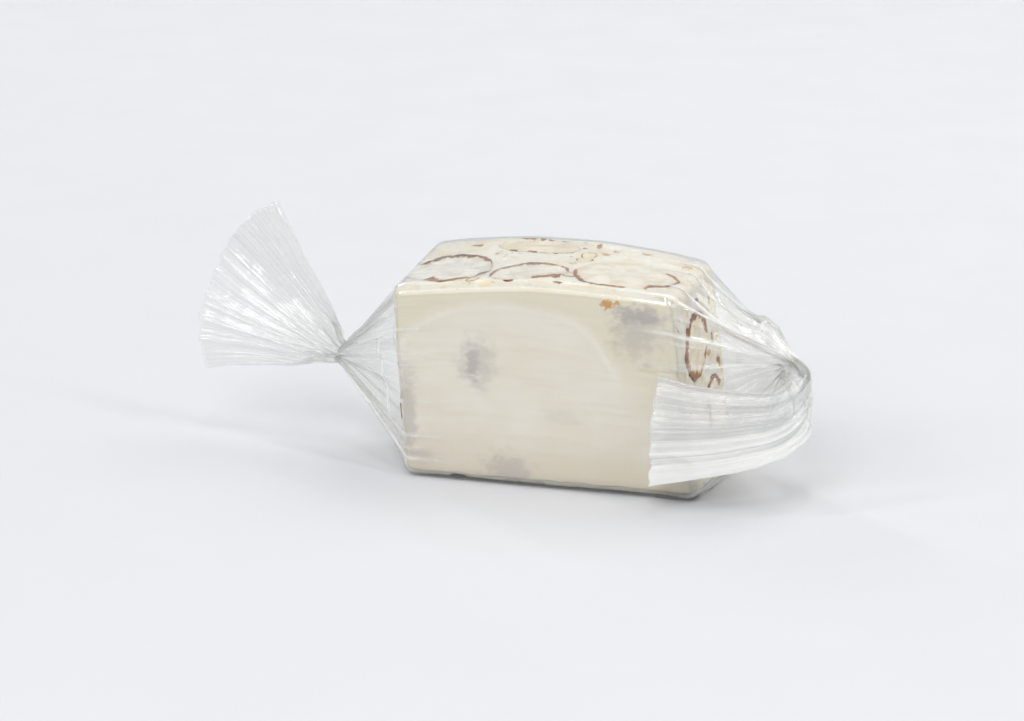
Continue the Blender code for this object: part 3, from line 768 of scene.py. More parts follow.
# Places on a smooth curve through the points, a cubic for each stretch,
# at shares of its length, and how far along each lies
def smoothLine(points, shares):
    points = np.array(points)
    padded = np.vstack([2 * points[0] - points[1], points, 2 * points[-1] - points[-2]])
    part = np.linspace(0, 1, 61)[:-1][:, None]
    curve = []
    for before, start, end, after in zip(padded, padded[1:], padded[2:], padded[3:]):
        bend = 2 * before - 5 * start + 4 * end - after
        twist = 3 * start - before - 3 * end + after
        curve.append(start + 0.5 * part * (end - before + part * (bend + part * twist)))
    curve = np.vstack(curve + [points[-1:]])
    lengths = np.r_[0, np.cumsum(np.linalg.norm(np.diff(curve, axis=0), axis=1))]
    stops = shares * lengths[-1]
    places = np.stack([np.interp(stops, lengths, curve[:, axis]) for axis in range(3)], axis=1)
    return places, stops


# Points at a share of the way round a rectangle with round corners, from the middle of its +width side,
# and the way out there: straight and round stretches take turns, each as long as its share of the outline
def roundedOutline(halfWidth, halfHeight, rounding, share):
    halfWidth, halfHeight, rounding, share = np.broadcast_arrays(halfWidth, halfHeight, rounding, share)
    up, across = halfHeight - rounding, halfWidth - rounding
    corner = math.pi / 2 * rounding
    stops = np.cumsum([up, corner, 2 * across, corner, 2 * up, corner, 2 * across, corner, up], axis=0)
    way = (share % 1) * stops[-1]
    width, height, angle = np.zeros_like(way), np.zeros_like(way), np.zeros_like(way)
    cornerWidths, cornerHeights = (1, -1, -1, 1), (1, 1, -1, -1)
    for index in range(9):
        before = stops[index - 1] if index else np.zeros_like(way)
        here = (way >= before) & (way <= stops[index] + 1e-12)
        into = way - before
        quarter = index // 2
        if index % 2:
            turn = quarter * math.pi / 2 + into / np.maximum(rounding, 1e-9)
            w = across * cornerWidths[quarter] + rounding * np.cos(turn)
            h = up * cornerHeights[quarter] + rounding * np.sin(turn)
        else:
            turn = np.full_like(way, quarter * math.pi / 2)
            w = (halfWidth, across - into, -halfWidth, into - across, halfWidth)[quarter]
            h = (into, halfHeight, up - into, -halfHeight, into - up)[quarter]
        width = np.where(here, w, width)
        height = np.where(here, h, height)
        angle = np.where(here, turn, angle)
    return width, height, np.cos(angle), np.sin(angle)


# Sharp folds round a closed way: uneven places on the film's own columns, ridges near 0, valleys of uneven
# depths up to 1, and how plainly each fold shows as a white line, partly whitened film and partly painted
# highlight
def foldPattern(count, seed):
    draw = np.random.default_rng(seed)
    spacing = 0.4 + draw.random(2 * count)
    places = np.round(np.cumsum(spacing) / spacing.sum() * film["around"]) / film["around"]
    valleys = np.arange(2 * count) % 2
    heights = np.where(valleys, 0.35 + 0.65 * draw.random(2 * count), 0.25 * draw.random(2 * count))
    return places, heights, draw.random(2 * count) ** 1.5


# The zigzag's height at each share of the way, straight between its folds
def foldHeight(pattern, share):
    return np.interp(share % 1, pattern[0], pattern[1], period=1)


# Thin white lines along the folds, partly whitened film and partly painted highlight: each fold's strength on
# the fold itself, fading to 0 at the half width
def foldLines(pattern, share, halfWidth):
    apart = np.abs((share[..., None] - pattern[0] + 0.5) % 1 - 0.5) / halfWidth
    return (np.clip(1 - apart, 0, 1) * pattern[2]).max(axis=-1)


# The broad and the fine folds round one end's gather
def endFolds(side):
    seed = film["seed"] + side
    return foldPattern(film["pleats"], seed), foldPattern(film["finePleats"], seed + 10)


# Crumples: soft waves with sharp ridges where another noise changes sign
def crumpleNoise(points, side):
    flat = points.reshape(-1, 3)
    softSize, ridgeSize = film["crumpleSizes"]
    soft = layeredNoise(flat, softSize, film["seed"] + 50 + side, 2)
    ridges = 1 - 2 * np.abs(softNoise(flat, ridgeSize, film["seed"] + 55 + side))
    return (soft + 0.8 * ridges).reshape(points.shape[:2])


# The tail from the neck on, ring by ring along its middle line: a round neck
# with folds drawn in, opening into a flat two-layer fan with straight folds
# from the neck outwards, a little crumpled, curled and cut off unevenly
def tailGrid(side, share):
    end = filmEnds[side]
    line, lengths = smoothLine(end["line"], np.linspace(end["neck"], 1, film["tailSteps"] + 1))
    ahead = np.gradient(line, axis=0)
    ahead = ahead / np.linalg.norm(ahead, axis=1, keepdims=True) * (side, 1, 1)
    line = line * (side, 1, 1) + (side * block["halfLength"], 0, middleHeight)
    wide = np.array([0, 0, 1]) - ahead * ahead[:, 2:]
    wide /= np.linalg.norm(wide, axis=1, keepdims=True)
    thin = np.cross(wide, ahead * side)
    past = (lengths - lengths[0])[:, None]
    opened = past / past[-1]
    halfWidth = between(film["neckRadius"], film["tailHalfThickness"], ease(opened * 2.5))
    halfHeight = film["neckRadius"] + end["fan"] * past
    width, height, _, _ = roundedOutline(halfWidth, halfHeight, halfWidth, (share + end["twist"])[None])
    broad, fine = endFolds(side)
    broadDepth, fineDepth = film["neckFolds"]
    drawnIn = (broadDepth * foldHeight(broad, share) + fineDepth * foldHeight(fine, share))[None]
    drawnIn = drawnIn * (1 - ease(opened, 0, 0.3))
    layer = np.sign(width) * ease(np.abs(width), 0, 0.0003)
    width, height = width * (1 - drawnIn), height * (1 - drawnIn)
    across = np.clip(height / halfHeight, -1, 1) / 2 + 0.5
    seed = film["seed"] + side
    pleats = [foldPattern(end["tailPleats"] * number, seed + 20 + 5 * number) for number in (1, 3, 2)]
    zigzag = sum(
        strength * part * (foldHeight(pattern, across) - 0.4)
        for strength, part, pattern in zip(film["tailFolds"], (1, 1, layer), pleats)
    )
    opening = ease(opened, 0.02, 0.22) * (1 - 0.40 * opened)
    curl = end["tailCurl"] * opened**2 * np.sin(math.pi * (3 * across + opened))
    curl = curl + end["scoop"] * ease(opened, 0.1, 0.6) * np.clip(1 - 2 * across, 0, 1) ** 2
    width = width + end["tailDepth"] * zigzag * opening + curl
    reach = film["neckRadius"] / end["fan"] + past
    angles = height / reach
    cutWave = foldHeight(foldPattern(film["cutFolds"], seed + 40), across) - 0.5
    onwards = reach * (np.cos(angles) - 1) + end["slant"] * opened**2 * reach * np.sin(angles)
    onwards += end["raggedEnd"] * cutWave * opened**4
    lowShare = between(1, end["lowHalf"], ease(opened, 0, 0.5))
    height = reach * np.sin(angles) * np.where(angles < 0, lowShare, 1)
    points = line[:, None] + width[..., None] * thin[:, None] + height[..., None] * wide[:, None]
    points += onwards[..., None] * ahead[:, None]
    crumpled = crumpleNoise(points, side) * end["crumple"] * ease(opened, 0.0, 0.2)
    points += crumpled[..., None] * thin[:, None]
    broadWidth, fineWidth = film["tailLineWidths"]
    lines = foldLines(pleats[0], across, broadWidth)
    lines = np.maximum(lines, 0.7 * foldLines(pleats[1], across, fineWidth))
    # Milky white, stronger on the flap's lower half: partly the haze of its layers, partly a painted broad
    # highlight
    milkAndSheen = between(film["leastMilkAndSheen"], 1, ease(-across, *film["milkAndSheenFrom"]))
    milkAndSheen = end["milkAndSheen"] * ease(opened, 0.1, 0.5) * milkAndSheen
    return points, film["plainFold"] * lines * opening + milkAndSheen


# The film's outline round the block at x, as points and
# the ways out of it; it follows each end's round edge down
def edgeRing(x, share):
    x = np.asarray(x)
    rounding = block["rounding"] + film["offset"]
    past = np.maximum(np.abs(x) - (block["halfLength"] - block["rounding"]), 0)
    inset = rounding - np.sqrt(rounding**2 - past**2)
    halfDepth, halfHeight = block["halfDepth"] + film["offset"], block["halfHeight"] + film["offset"]
    outline = roundedOutline(halfDepth - inset, halfHeight - inset, rounding, share)
    width, height, outWidth, outHeight = outline
    ring = np.stack([x + 0 * width, width, height + middleHeight], axis=-1)
    return ring, np.stack([np.zeros_like(width), outWidth, outHeight], axis=-1)


# Where the film leaves the block's round end edges, as
# a distance from the middle: at a share of the rounding
def leavingPlace():
    return block["halfLength"] - block["rounding"] + film["leaves"] * (block["rounding"] + film["offset"])


# Bold creases along the gather, each with its share of the way round, its strength and how far towards the
# neck it runs, and one that crosses them from one share and distance to another; their white lines are
# painted highlight with some whitening of the film
def boldCreases(side, share, drawn):
    end = filmEnds[side]
    strength = np.zeros((len(drawn), len(share)))
    for place, plainness, reach in end["creases"]:
        middle = round(place * film["around"]) / film["around"]
        columns = np.abs((share - middle + 0.5) % 1 - 0.5) * film["around"]
        crease = np.clip(1 - columns / film["creaseColumns"], 0, 1)[None] * plainness
        strength = np.maximum(strength, crease * ease(reach - drawn, -0.05, 0.2))
    (startShare, startDrawn), (endShare, endDrawn), plainness = end["crossing"]
    along = (share - startShare) / (endShare - startShare)
    apart = np.abs(drawn - between(startDrawn, endDrawn, along)[None]) * film["gatherSteps"]
    fade = ease(along, 0, 0.2) * ease(1 - along, 0, 0.3)
    return np.maximum(strength, np.clip(1 - apart / film["creaseColumns"], 0, 1) * fade[None] * plainness)


# The gather: straight lines from the block's end to the neck, pulled taut
# along the ridges of the folds and drawn in between them, with a shoulder
# that stands out, a belly that hangs and crumples that grow towards the neck
def gatherGrid(side, share):
    end = filmEnds[side]
    ring, outwards = edgeRing(side * leavingPlace(), share)
    neck = tailGrid(side, share)[0][0]
    drawn = np.linspace(0, 1, film["gatherSteps"] + 1)[1:, None]
    points = between(ring[None], neck[None], drawn[..., None])
    broad, fine = endFolds(side)
    slack = np.sin(math.pi * drawn**0.85)
    depth = film["pleatDepth"] * foldHeight(broad, share)[None] * slack
    depth = depth + film["finePleatDepth"] * foldHeight(fine, share)[None] * slack * drawn
    fromShoulder = (share - film["shoulderPlace"] + 0.5) % 1 - 0.5
    nearShoulder = np.exp(-(fromShoulder / film["shoulderWidth"]) ** 2)[None]
    depth = depth - end["shoulder"] * nearShoulder * np.sin(math.pi * ease(drawn, 0.35, 1.0) ** 1.3)
    crumpleShare = ease(drawn, 0.10, 0.7) * np.sin(math.pi * np.minimum(drawn, 0.999) ** 1.5)
    crumpled = crumpleNoise(points, side) * end["crumple"] * crumpleShare * (1 + 1.5 * nearShoulder)
    bold = boldCreases(side, share, drawn)
    raised = film["creaseHeight"] * bold * ease(drawn, 0, 0.15) * ease(-drawn, -1, -0.8)
    points = points + (crumpled - depth + raised)[..., None] * outwards[None]
    lower = np.clip(-outwards[:, 2], 0, 1)[None]
    points[..., 2] -= end["belly"] * np.sin(math.pi * drawn**0.8) * lower
    lines = foldLines(broad, share, film["foldWidth"])[None]
    fineLines = foldLines(fine, share, film["fineLineWidth"])[None]
    lines = lines + 0.6 * fineLines * ease(drawn, 0.2, 0.8)
    # The white of the folds and bold creases: partly whitened film, partly painted highlight
    return points, np.maximum(film["plainFold"] * np.clip(lines, 0, 1), bold)


# The film on the block: its outline with gentle waves, the ends of the folds dying
# out along it and one long crease that runs in from the right over the front
def sleeveGrid(share):
    turns = np.linspace(-1, 1, film["sleeveSteps"] + 1) * film["closerAtEnds"]
    along = leavingPlace() * np.sin(turns)[:, None] / math.sin(film["closerAtEnds"])
    points, outwards = edgeRing(along, share[None])
    flat = points.reshape(-1, 3)
    waves = film["wave"] * softNoise(flat * (0.6, 1, 1), film["waveSize"], film["seed"] + 60)
    waves += film["ridge"] * (1 - 2 * np.abs(softNoise(flat, film["ridgeSize"], film["seed"] + 61)))
    lift = waves.reshape(points.shape[:2]) * ease(points[..., 2], 0.0008, 0.0040) + film["floorGap"]
    lines = np.zeros(points.shape[:2])
    for side in (-1, 1):
        broad = endFolds(side)[0]
        fromEnd = leavingPlace() - side * along
        fade = np.exp(-((fromEnd / film["foldFade"]) ** 1.2))
        fade = fade * film["endFold"] * (1 - np.exp(-fromEnd / 0.0006))
        lift = lift - (foldHeight(broad, share)[None] - 0.45) * fade
        folds = foldLines(broad, share, film["foldWidth"])[None]
        lines = lines + film["plainFold"] * folds * np.exp(-fromEnd / film["lineFade"])
        bold = boldCreases(side, share, np.zeros((1, 1)))
        bold = bold * np.exp(-((fromEnd / film["creaseFade"]) ** 2))
        lift = lift + film["creaseHeight"] * 0.4 * bold
        # The bold creases' painted highlight runs a little way onto the sleeve
        lines = lines + 0.8 * bold
    crease = film["frontCrease"]
    fromRight = block["halfLength"] - along
    beside = np.abs(points[..., 2] - crease["height"] - 0.05 * fromRight) / crease["width"]
    onFront = np.clip(-outwards[..., 1], 0, 1)
    creaseShare = np.clip(1 - beside, 0, 1) * onFront * np.clip(1 - fromRight / crease["length"], 0, 1)
    lift = np.clip(lift, -film["floorGap"], film["lift"]) + crease["lift"] * creaseShare
    return points + lift[..., None] * outwards, np.clip(lines, 0, 1)


# A stretch of film from a grid of rings: one skin with a
# UV map of turns and length, given its wall by Solidify
def filmPiece(name, points, gathered, lines, material):
    rows, columns = points.shape[:2]
    faces = gridFaces(rows, columns, goesRound=True)
    places = settle(points.reshape(-1, 3))
    places[:, 2] = np.maximum(places[:, 2], film["floorGap"])
    piece = makePiece(name, places, faces, material)
    addNumbers(piece, "gathered", np.repeat(gathered, columns))
    addNumbers(piece, "folds", lines.ravel())
    steps = np.linalg.norm(np.diff(points.mean(axis=1), axis=0), axis=1)
    lengths = np.r_[0, np.cumsum(steps)] / film["uvLength"]
    row, column = np.divmod(faces, columns)
    turns = np.where((column == 0) & (column[:, :1] == columns - 1), 1.0, column / columns)
    layer = piece.data.uv_layers.new(name="film")
    corners = np.stack([turns, lengths[row]], axis=-1)
    layer.data.foreach_set("uv", corners.reshape(-1).astype(np.float32))
    wall = piece.modifiers.new("wall", "SOLIDIFY")
    wall.thickness = film["wall"]
    wall.offset = -1
    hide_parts("film_wrapper")


# The wrapper as three stretches: the sleeve with both gathers, and a tail at each end
def makeFilm(material):
    share = np.arange(film["around"]) / film["around"]
    tailShare = np.arange(film["tailAround"]) / film["tailAround"]
    gather = ease(np.linspace(0, 1, film["gatherSteps"] + 1)[1:], 0, 0.6)
    left, sleeve, right = gatherGrid(-1, share), sleeveGrid(share), gatherGrid(1, share)
    points, lines = (
        np.concatenate([left[index][::-1], sleeve[index], right[index]])
        for index in (0, 1)
    )
    gathered = np.concatenate([gather[::-1], np.zeros(film["sleeveSteps"] + 1), gather])
    filmPiece("film_sleeve", points, gathered, lines, material)
    opened = np.ones(film["tailSteps"] + 1)
    leftTail, leftLines = tailGrid(-1, tailShare)
    filmPiece("film_tail_left", leftTail[::-1], opened, leftLines[::-1], material)
    rightTail, rightLines = tailGrid(1, tailShare)
    filmPiece("film_tail_right", rightTail, opened, rightLines, material)


# Finishes

# The edge tone is painted shade for the strip beside the wafers
nougatColours = {
    "cream": (246, 239, 221), "pale": (254, 251, 242), "honey": (232, 212, 174), "toffee": (202, 152, 68),
    "chip": (240, 228, 196), "edge": (226, 222, 211),
}
# In these tables a tone is a row of scale, low, high and
# strength, and a ramp one of low, high, start and end
nougatMarks = {
    "pale": (240, 0.35, 0.66), "smear": (480, 0.50, 0.72, 0.55), "smearStretch": (0.45, 1.5, 1.0),
    "ochre": (300, 0.42, 0.66, 0.55), "ochreOnEnds": (0.6, 0.4), "edge": (0.0, 1.0, 0.0, 0.8),
    "pit": (0.25, 1.0, 0.0, 0.6), "spots": (900, 0.57, 0.68), "spotFields": (150, 0.50, 0.62, 0.8),
    "skinScale": 1100.0, "swayScale": 700.0, "sway": 0.0011, "chipScale": 330, "chipSize": 0.34,
    "chipShare": 0.08, "rimGaps": (420, 0.44, 0.52), "streaks": (210, 3.0, 0.55, 0.9),
    "streakWidth": 0.016, "streakFields": (330, 0.60, 0.66), "unsettled": (1900, 5.0, 3.4, 0.65),
    "flakeEdge": (1.15, 0.75),
}
# Flakes of almond skin and crumbs of toffee on the cut sides,
# as middles and half sizes in mm, and which of the two
flakes = (
    ((-4.9, 8.4, 28.0), (1.00, 0.35, 1.0), "skin"), ((-1.9, 7.5, 28.0), (0.80, 0.45, 1.0), "skin"),
    ((2.9, 7.2, 28.0), (0.30, 1.30, 1.0), "skin"), ((4.6, 4.0, 27.5), (0.60, 0.40, 1.0), "toffee"),
    ((1.9, -8.3, 27.0), (0.60, 0.35, 1.0), "skin"), ((-6.4, -8.7, 27.0), (0.50, 0.30, 1.0), "toffee"),
    ((9.6, 6.6, 27.5), (0.90, 0.50, 1.0), "toffee"), ((-13.0, 6.2, 27.0), (0.80, 0.40, 1.0), "skin"),
    ((-9.2, 2.6, 27.5), (0.40, 0.90, 1.0), "skin"), ((15.2, 4.6, 26.5), (0.70, 0.60, 1.0), "toffee"),
    ((18.0, 5.2, 22.0), (1.2, 0.9, 0.5), "toffee"), ((18.5, 2.2, 16.0), (1.2, 1.1, 0.4), "toffee"),
    ((19.0, -6.8, 12.4), (1.2, 0.8, 0.5), "skin"), ((19.0, 6.6, 13.6), (1.2, 0.5, 0.7), "skin"),
    ((19.2, -1.4, 9.6), (1.2, 0.7, 0.4), "toffee"), ((18.2, -0.4, 23.4), (1.2, 0.9, 0.3), "skin"),
    ((-19.4, -5.6, 20.6), (1.2, 0.9, 0.4), "skin"), ((-19.0, 0.6, 8.4), (1.2, 0.5, 0.8), "toffee"),
    ((-18.8, 6.8, 6.2), (1.2, 0.9, 0.4), "skin"), ((-19.4, -1.6, 22.6), (1.2, 0.6, 0.4), "toffee"),
    ((-14.8, -5.2, 0.7), (0.90, 0.50, 1.0), "skin"), ((7.4, 5.0, 0.7), (0.5, 0.9, 1.0), "toffee"),
    ((12.0, -5.6, 0.7), (0.9, 0.6, 1.0), "skin"), ((-2.6, 0.6, 0.7), (0.8, 0.4, 1.0), "toffee"),
)


# The nougat: cloudy cream with smears, pits darkened with painted shade, a strip beside the wafers dulled
# with painted shade, small bits of almond with broken brown rims, and loose streaks of brown skin where a
# noise crosses its middle
def nougatFinish():
    sketch = MaterialSketch("soft_nougat")
    place = sketch.objectPlace()
    tone = tonesOf(nougatColours)
    cut = sketch.number("cut")
    marks = nougatMarks
    smear = sketch.tone(sketch.objectPlace(scale=marks["smearStretch"]), *marks["smear"])
    colour = sketch.mix(sketch.mask(place, marks["pale"]), tone["cream"], tone["pale"])
    ochreShare = sketch.math("MULTIPLY_ADD", sketch.number("end"), *marks["ochreOnEnds"])
    ochre = sketch.times(sketch.mask(place, marks["ochre"]), ochreShare)
    spots = sketch.times(sketch.mask(place, marks["spots"]), sketch.mask(place, marks["spotFields"]), cut)
    for mask, name in (
        # On the next line, the edge mix is painted shade on the strip beside the wafers
        (ochre, "honey"), (sketch.ramp(sketch.number("edge"), *marks["edge"]), "edge"),
        # On the next line, the pit mix is painted shade in the pits and tears
        (smear["Mask"], "honey"), (sketch.ramp(sketch.number("pit"), *marks["pit"]), "honey"),
        (spots, "toffee"),
    ):
        colour = sketch.mix(mask, colour, tone[name])
    tone["skin"] = sketch.group(almondSkin, Vector=place, Scale=marks["skinScale"])["Color"]
    sway = sketch.add("ShaderNodeTexNoise", Vector=place, Scale=marks["swayScale"]).outputs["Color"]
    swaySmall = sketch.add("ShaderNodeVectorMath", {"operation": "SCALE"}, Scale=marks["sway"])
    sketch.feed(swaySmall, "0", sway)
    bent = sketch.add("ShaderNodeVectorMath", {"operation": "ADD"})
    sketch.feed(bent, "0", place)
    sketch.feed(bent, "1", swaySmall.outputs["Vector"])
    cells = sketch.add("ShaderNodeTexVoronoi", Vector=bent.outputs["Vector"], Scale=marks["chipScale"])
    distance, size = cells.outputs["Distance"], marks["chipSize"]
    random = sketch.add("ShaderNodeSeparateColor", Color=cells.outputs["Color"]).outputs[0]
    chosen = sketch.times(sketch.math("LESS_THAN", random, marks["chipShare"]), cut)
    chip = sketch.times(sketch.ramp(distance, size, size - 0.03), chosen, 0.8)
    rim = sketch.times(sketch.ramp(distance, size - 0.085, size - 0.05),
                       sketch.ramp(distance, size + 0.01, size - 0.02), chosen,
                       sketch.mask(place, marks["rimGaps"]))
    wander = sketch.noise(place, *marks["streaks"])
    apart = sketch.math("ABSOLUTE", sketch.math("SUBTRACT", wander, 0.5))
    thin = sketch.ramp(apart, marks["streakWidth"], marks["streakWidth"] * 0.45)
    streak = sketch.times(thin, sketch.times(sketch.mask(place, marks["streakFields"]), cut))
    for mask, name in ((chip, "chip"), (rim, "skin"), (streak, "skin")):
        colour = sketch.mix(mask, colour, tone[name])
    unsettled = sketch.unsettled(place, *marks["unsettled"])
    for centre, sizes, kind in flakes:
        reach = sketch.blobReach(place, unsettled, centre, sizes)
        mask = sketch.times(sketch.ramp(reach, *marks["flakeEdge"]), 0.9)
        colour = sketch.mix(mask, colour, tone[kind])
    lines = sketch.math("MULTIPLY_ADD", sketch.math("ADD", streak, rim), 0.6, smear["Height"])
    relief = sketch.math("ADD", sketch.noise(place, 2600, 4.0), lines)
    return sketch.principled(
        colour, sketch.bump(relief, 0.5, 0.00016), Roughness=0.5, Specular_IOR_Level=0.4,
        Subsurface_Weight=0.25, Subsurface_Radius=(1.0, 0.8, 0.5), Subsurface_Scale=0.0014,
    )


almondMarks = {
    "clouds": (420, 0.42, 0.62, 0.85), "core": (0.62, 0.18), "coreClouds": (260, 0.40, 0.60, 0.8),
    "streaks": (1500, 0.5, 0.75, 0.40), "streakStretch": (0.30, 1.6, 1.6),
    "nearSkin": (0.80, 1.0, 0.0, 0.45), "cleft": (0.15, 0.9, 0.0, 0.75), "ragged": (2100, 4.0, 0.65),
    "raggedSkin": 1.2, "innerSkin": (0.18, 0.42, 0.0, 0.75), "skin": (0.45, 0.68), "skinScale": 1300.0,
    "raggedDark": 0.4, "dark": (0.5, 1.2, 0.0, 0.9),
}


# A cut almond: a white to ivory kernel with clouds, a paler core and fine
# streaks along its length; the skin shows where the piece's own skin share,
# roughened by noise, is high, orange at its inner edge and grey where it is dark
def almondFinish():
    sketch = MaterialSketch("cut_almond")
    place = sketch.objectPlace()
    outwards, ivory = sketch.number("outwards"), sketch.number("ivory")
    tone, marks = tonesOf(almondColours), almondMarks
    shade = sketch.mix(ivory, tone["grey"], tone["shade"])
    plain = sketch.mix(ivory, tone["white"], tone["ivory"])
    kernel = sketch.mix(sketch.mask(place, marks["clouds"]), plain, shade)
    core = sketch.times(sketch.ramp(outwards, *marks["core"]), sketch.mask(place, marks["coreClouds"]))
    streaks = sketch.tone(sketch.objectPlace(scale=marks["streakStretch"]), *marks["streaks"])
    for mask, over in (
        (core, tone["core"]), (sketch.ramp(outwards, *marks["nearSkin"]), shade), (streaks["Mask"], shade),
        (sketch.ramp(sketch.number("cleft"), *marks["cleft"]), tone["cleft"]),
    ):
        kernel = sketch.mix(mask, kernel, over)
    ragged = sketch.noise(place, *marks["ragged"])
    around = sketch.math("SUBTRACT", ragged, 0.5)
    skin = sketch.math("MULTIPLY_ADD", around, marks["raggedSkin"], sketch.number("skin"))
    kernel = sketch.mix(sketch.ramp(skin, *marks["innerSkin"]), kernel, tone["inner"])
    skinShare = sketch.ramp(skin, *marks["skin"])
    brown = sketch.group(almondSkin, Vector=place, Scale=marks["skinScale"])["Color"]
    dark = sketch.math("MULTIPLY_ADD", ragged, marks["raggedDark"], sketch.number("dark"))
    dark = sketch.ramp(dark, *marks["dark"])
    colour = sketch.mix(skinShare, kernel, sketch.mix(dark, brown, tone["skinGrey"]))
    relief = sketch.math("MULTIPLY_ADD", skinShare, 0.8, streaks["Height"])
    return sketch.principled(
        colour, sketch.bump(relief, 0.45, 0.00014), Roughness=0.48,
        Subsurface_Weight=0.15, Subsurface_Radius=(1.0, 0.8, 0.5), Subsurface_Scale=0.001,
    )


# The away tone is both the paper's cloudy tone and painted shade where the film stands off; the rim tone is a
# painted light line
waferColours = {
    "sheet": (231, 225, 214), "away": (222, 215, 193), "fibre": (219, 208, 190), "shadow": (160, 152, 154),
    "low": (208, 195, 170), "speck": (194, 134, 34), "rim": (240, 237, 229),
}
waferMarks = {
    "fibres": (560, 0.45, 0.78, 0.42), "fibreStretch": (0.20, 1.0, 1.9), "fibreTurn": (0, 0.05, 0),
    "clouds": (120, 0.36, 0.68, 0.5), "unsettled": 0.16, "high": (0.0095, 0.0180),
    "away": (0.97, 1.06, 0.0), "rimInside": (0.93, 0.97), "rimOutside": (1.00, 0.97, 0.0, 0.35),
    "rimGaps": (260, 0.40, 0.60), "low": (0.0085, 0.0010, 0.0, 0.55),
    "raggedStretch": (0.8, 1.0, 1.2), "ragged": (700, 6.0, 3.0, 0.72), "fine": (2300, 4.0, 3.4),
    "shadowEdge": (1.45, 0.35), "speckEdge": (1.3, 0.7),
}
# Where the film lies tight on a wafer the sheet keeps its paler tone, and around it a duller tone is painted
# shade
# where the film stands off: the tight stretch is a rounded box, as its middle and half sizes in mm, with the
# strength of that painted shade
tightStretch = {"front": ((-4.5, 9.0), (15.0, 14.3), 0.9), "back": ((2.5, 7.5), (14.6, 13.0), 0.5)}
# Almonds showing through each wafer, as middles and half sizes in mm and strengths, and small brown specks
throughShadows = {
    "front": (
        ((-8.0, 15.8), (2.4, 3.2), 0.34), ((-8.6, 15.6), (0.8, 2.2), 0.50), ((12.4, 21.2), (3.0, 3.4), 0.42),
        ((12.8, 23.4), (3.2, 1.1), 0.62), ((-17.2, 8.8), (1.1, 5.6), 0.44), ((-15.6, 3.0), (1.6, 1.0), 0.30),
        ((-4.0, 2.2), (3.0, 2.1), 0.42), ((3.0, 9.8), (3.0, 1.0), 0.12),
    ),
    "back": (
        ((-3.6, 25.2), (4.2, 2.2), 0.50), ((16.6, 8.0), (1.6, 3.8), 0.50), ((-16.8, 16.6), (1.5, 3.0), 0.46),
        ((-7.6, 2.6), (4.2, 2.0), 0.40), ((11.2, 2.2), (3.0, 1.6), 0.44), ((4.6, 15.4), (2.2, 2.8), 0.30),
        ((5.0, 15.0), (0.8, 1.6), 0.40),
    ),
}
specks = {
    "front": (
        ((8.8, 24.6), (0.8, 0.5), 0.9), ((10.0, 24.9), (0.3, 0.3), 0.7), ((-11.2, 25.2), (0.5, 0.2), 0.4),
    ),
    "back": (((-12.4, 24.2), (0.6, 0.4), 0.8), ((1.8, 9.4), (0.3, 0.3), 0.5)),
}


# How far out a place lies in the tight stretch, 1 on its
# edge: the cube root of the sum of its cubes, in half sizes
def tightReach(sketch, place, unsettled, side):
    (acrossAt, upAt), (halfAcross, halfUp), _ = tightStretch[side]
    scale = (1 / (halfAcross * mm), 0.0, 1 / (halfUp * mm))
    inside = sketch.mapped(place, scale=scale, shift=(-acrossAt / halfAcross, 0, -upAt / halfUp))
    parts = sketch.add("ShaderNodeSeparateXYZ", Vector=inside)
    cubes = [sketch.math("POWER", sketch.math("ABSOLUTE", parts.outputs[axis]), 3.0) for axis in ("X", "Z")]
    return sketch.math("ADD", sketch.math("POWER", sketch.math("ADD", *cubes), 1 / 3), unsettled)


# Wafer paper: off-white with long arched fibres and clouds, a paler stretch where the film is tight with
# painted shade around it and a painted light line on its edge, a low tint, grey marks of almonds behind it
# and small brown specks
def waferFinish(name, side):
    sketch = MaterialSketch(name)
    place = sketch.add("ShaderNodeTexCoord").outputs["Object"]
    tone, marks = tonesOf(waferColours), waferMarks
    along = sketch.mapped(place, scale=marks["fibreStretch"], turn=marks["fibreTurn"])
    fibres = sketch.tone(along, *marks["fibres"])
    clouds = sketch.tone(place, *marks["clouds"])
    height = sketch.add("ShaderNodeSeparateXYZ", Vector=place).outputs["Z"]
    unsettled = sketch.times(sketch.math("SUBTRACT", clouds["Height"], 0.5), marks["unsettled"])
    reach = tightReach(sketch, place, unsettled, side)
    high = sketch.ramp(height, *marks["high"])
    # Painted shade where the film stands off the sheet, higher up only
    away = sketch.times(sketch.ramp(reach, *marks["away"], tightStretch[side][2]), high)
    # A painted light line along the edge of the tight stretch, with gaps
    rim = sketch.times(sketch.ramp(reach, *marks["rimInside"]), sketch.ramp(reach, *marks["rimOutside"]),
                       high, sketch.mask(place, marks["rimGaps"]))
    low = sketch.ramp(height, *marks["low"])
    layers = [(clouds["Mask"], "away"), (away, "away"), (rim, "rim"), (low, "low"), (fibres["Mask"], "fibre")]
    ragged = sketch.unsettled(sketch.mapped(place, scale=marks["raggedStretch"]), *marks["ragged"])
    fine = sketch.unsettled(place, *marks["fine"])
    for blobs, name, noise, edge in (
        (throughShadows, "shadow", ragged, "shadowEdge"), (specks, "speck", fine, "speckEdge"),
    ):
        for (across, up), (halfAcross, halfUp), strength in blobs[side]:
            centre, sizes = (across, 0, up), (halfAcross, 0, halfUp)
            layers.append((sketch.blob(place, noise, centre, sizes, *marks[edge], strength), name))
    colour = tone["sheet"]
    for mask, name in layers:
        colour = sketch.mix(mask, colour, tone[name])
    relief = sketch.math("MULTIPLY_ADD", sketch.noise(place, 3200, 3.0), 0.5, fibres["Height"])
    normal = sketch.bump(relief, 0.25, 0.00008)
    return sketch.principled(colour, normal, Roughness=0.8, Specular_IOR_Level=0.25)


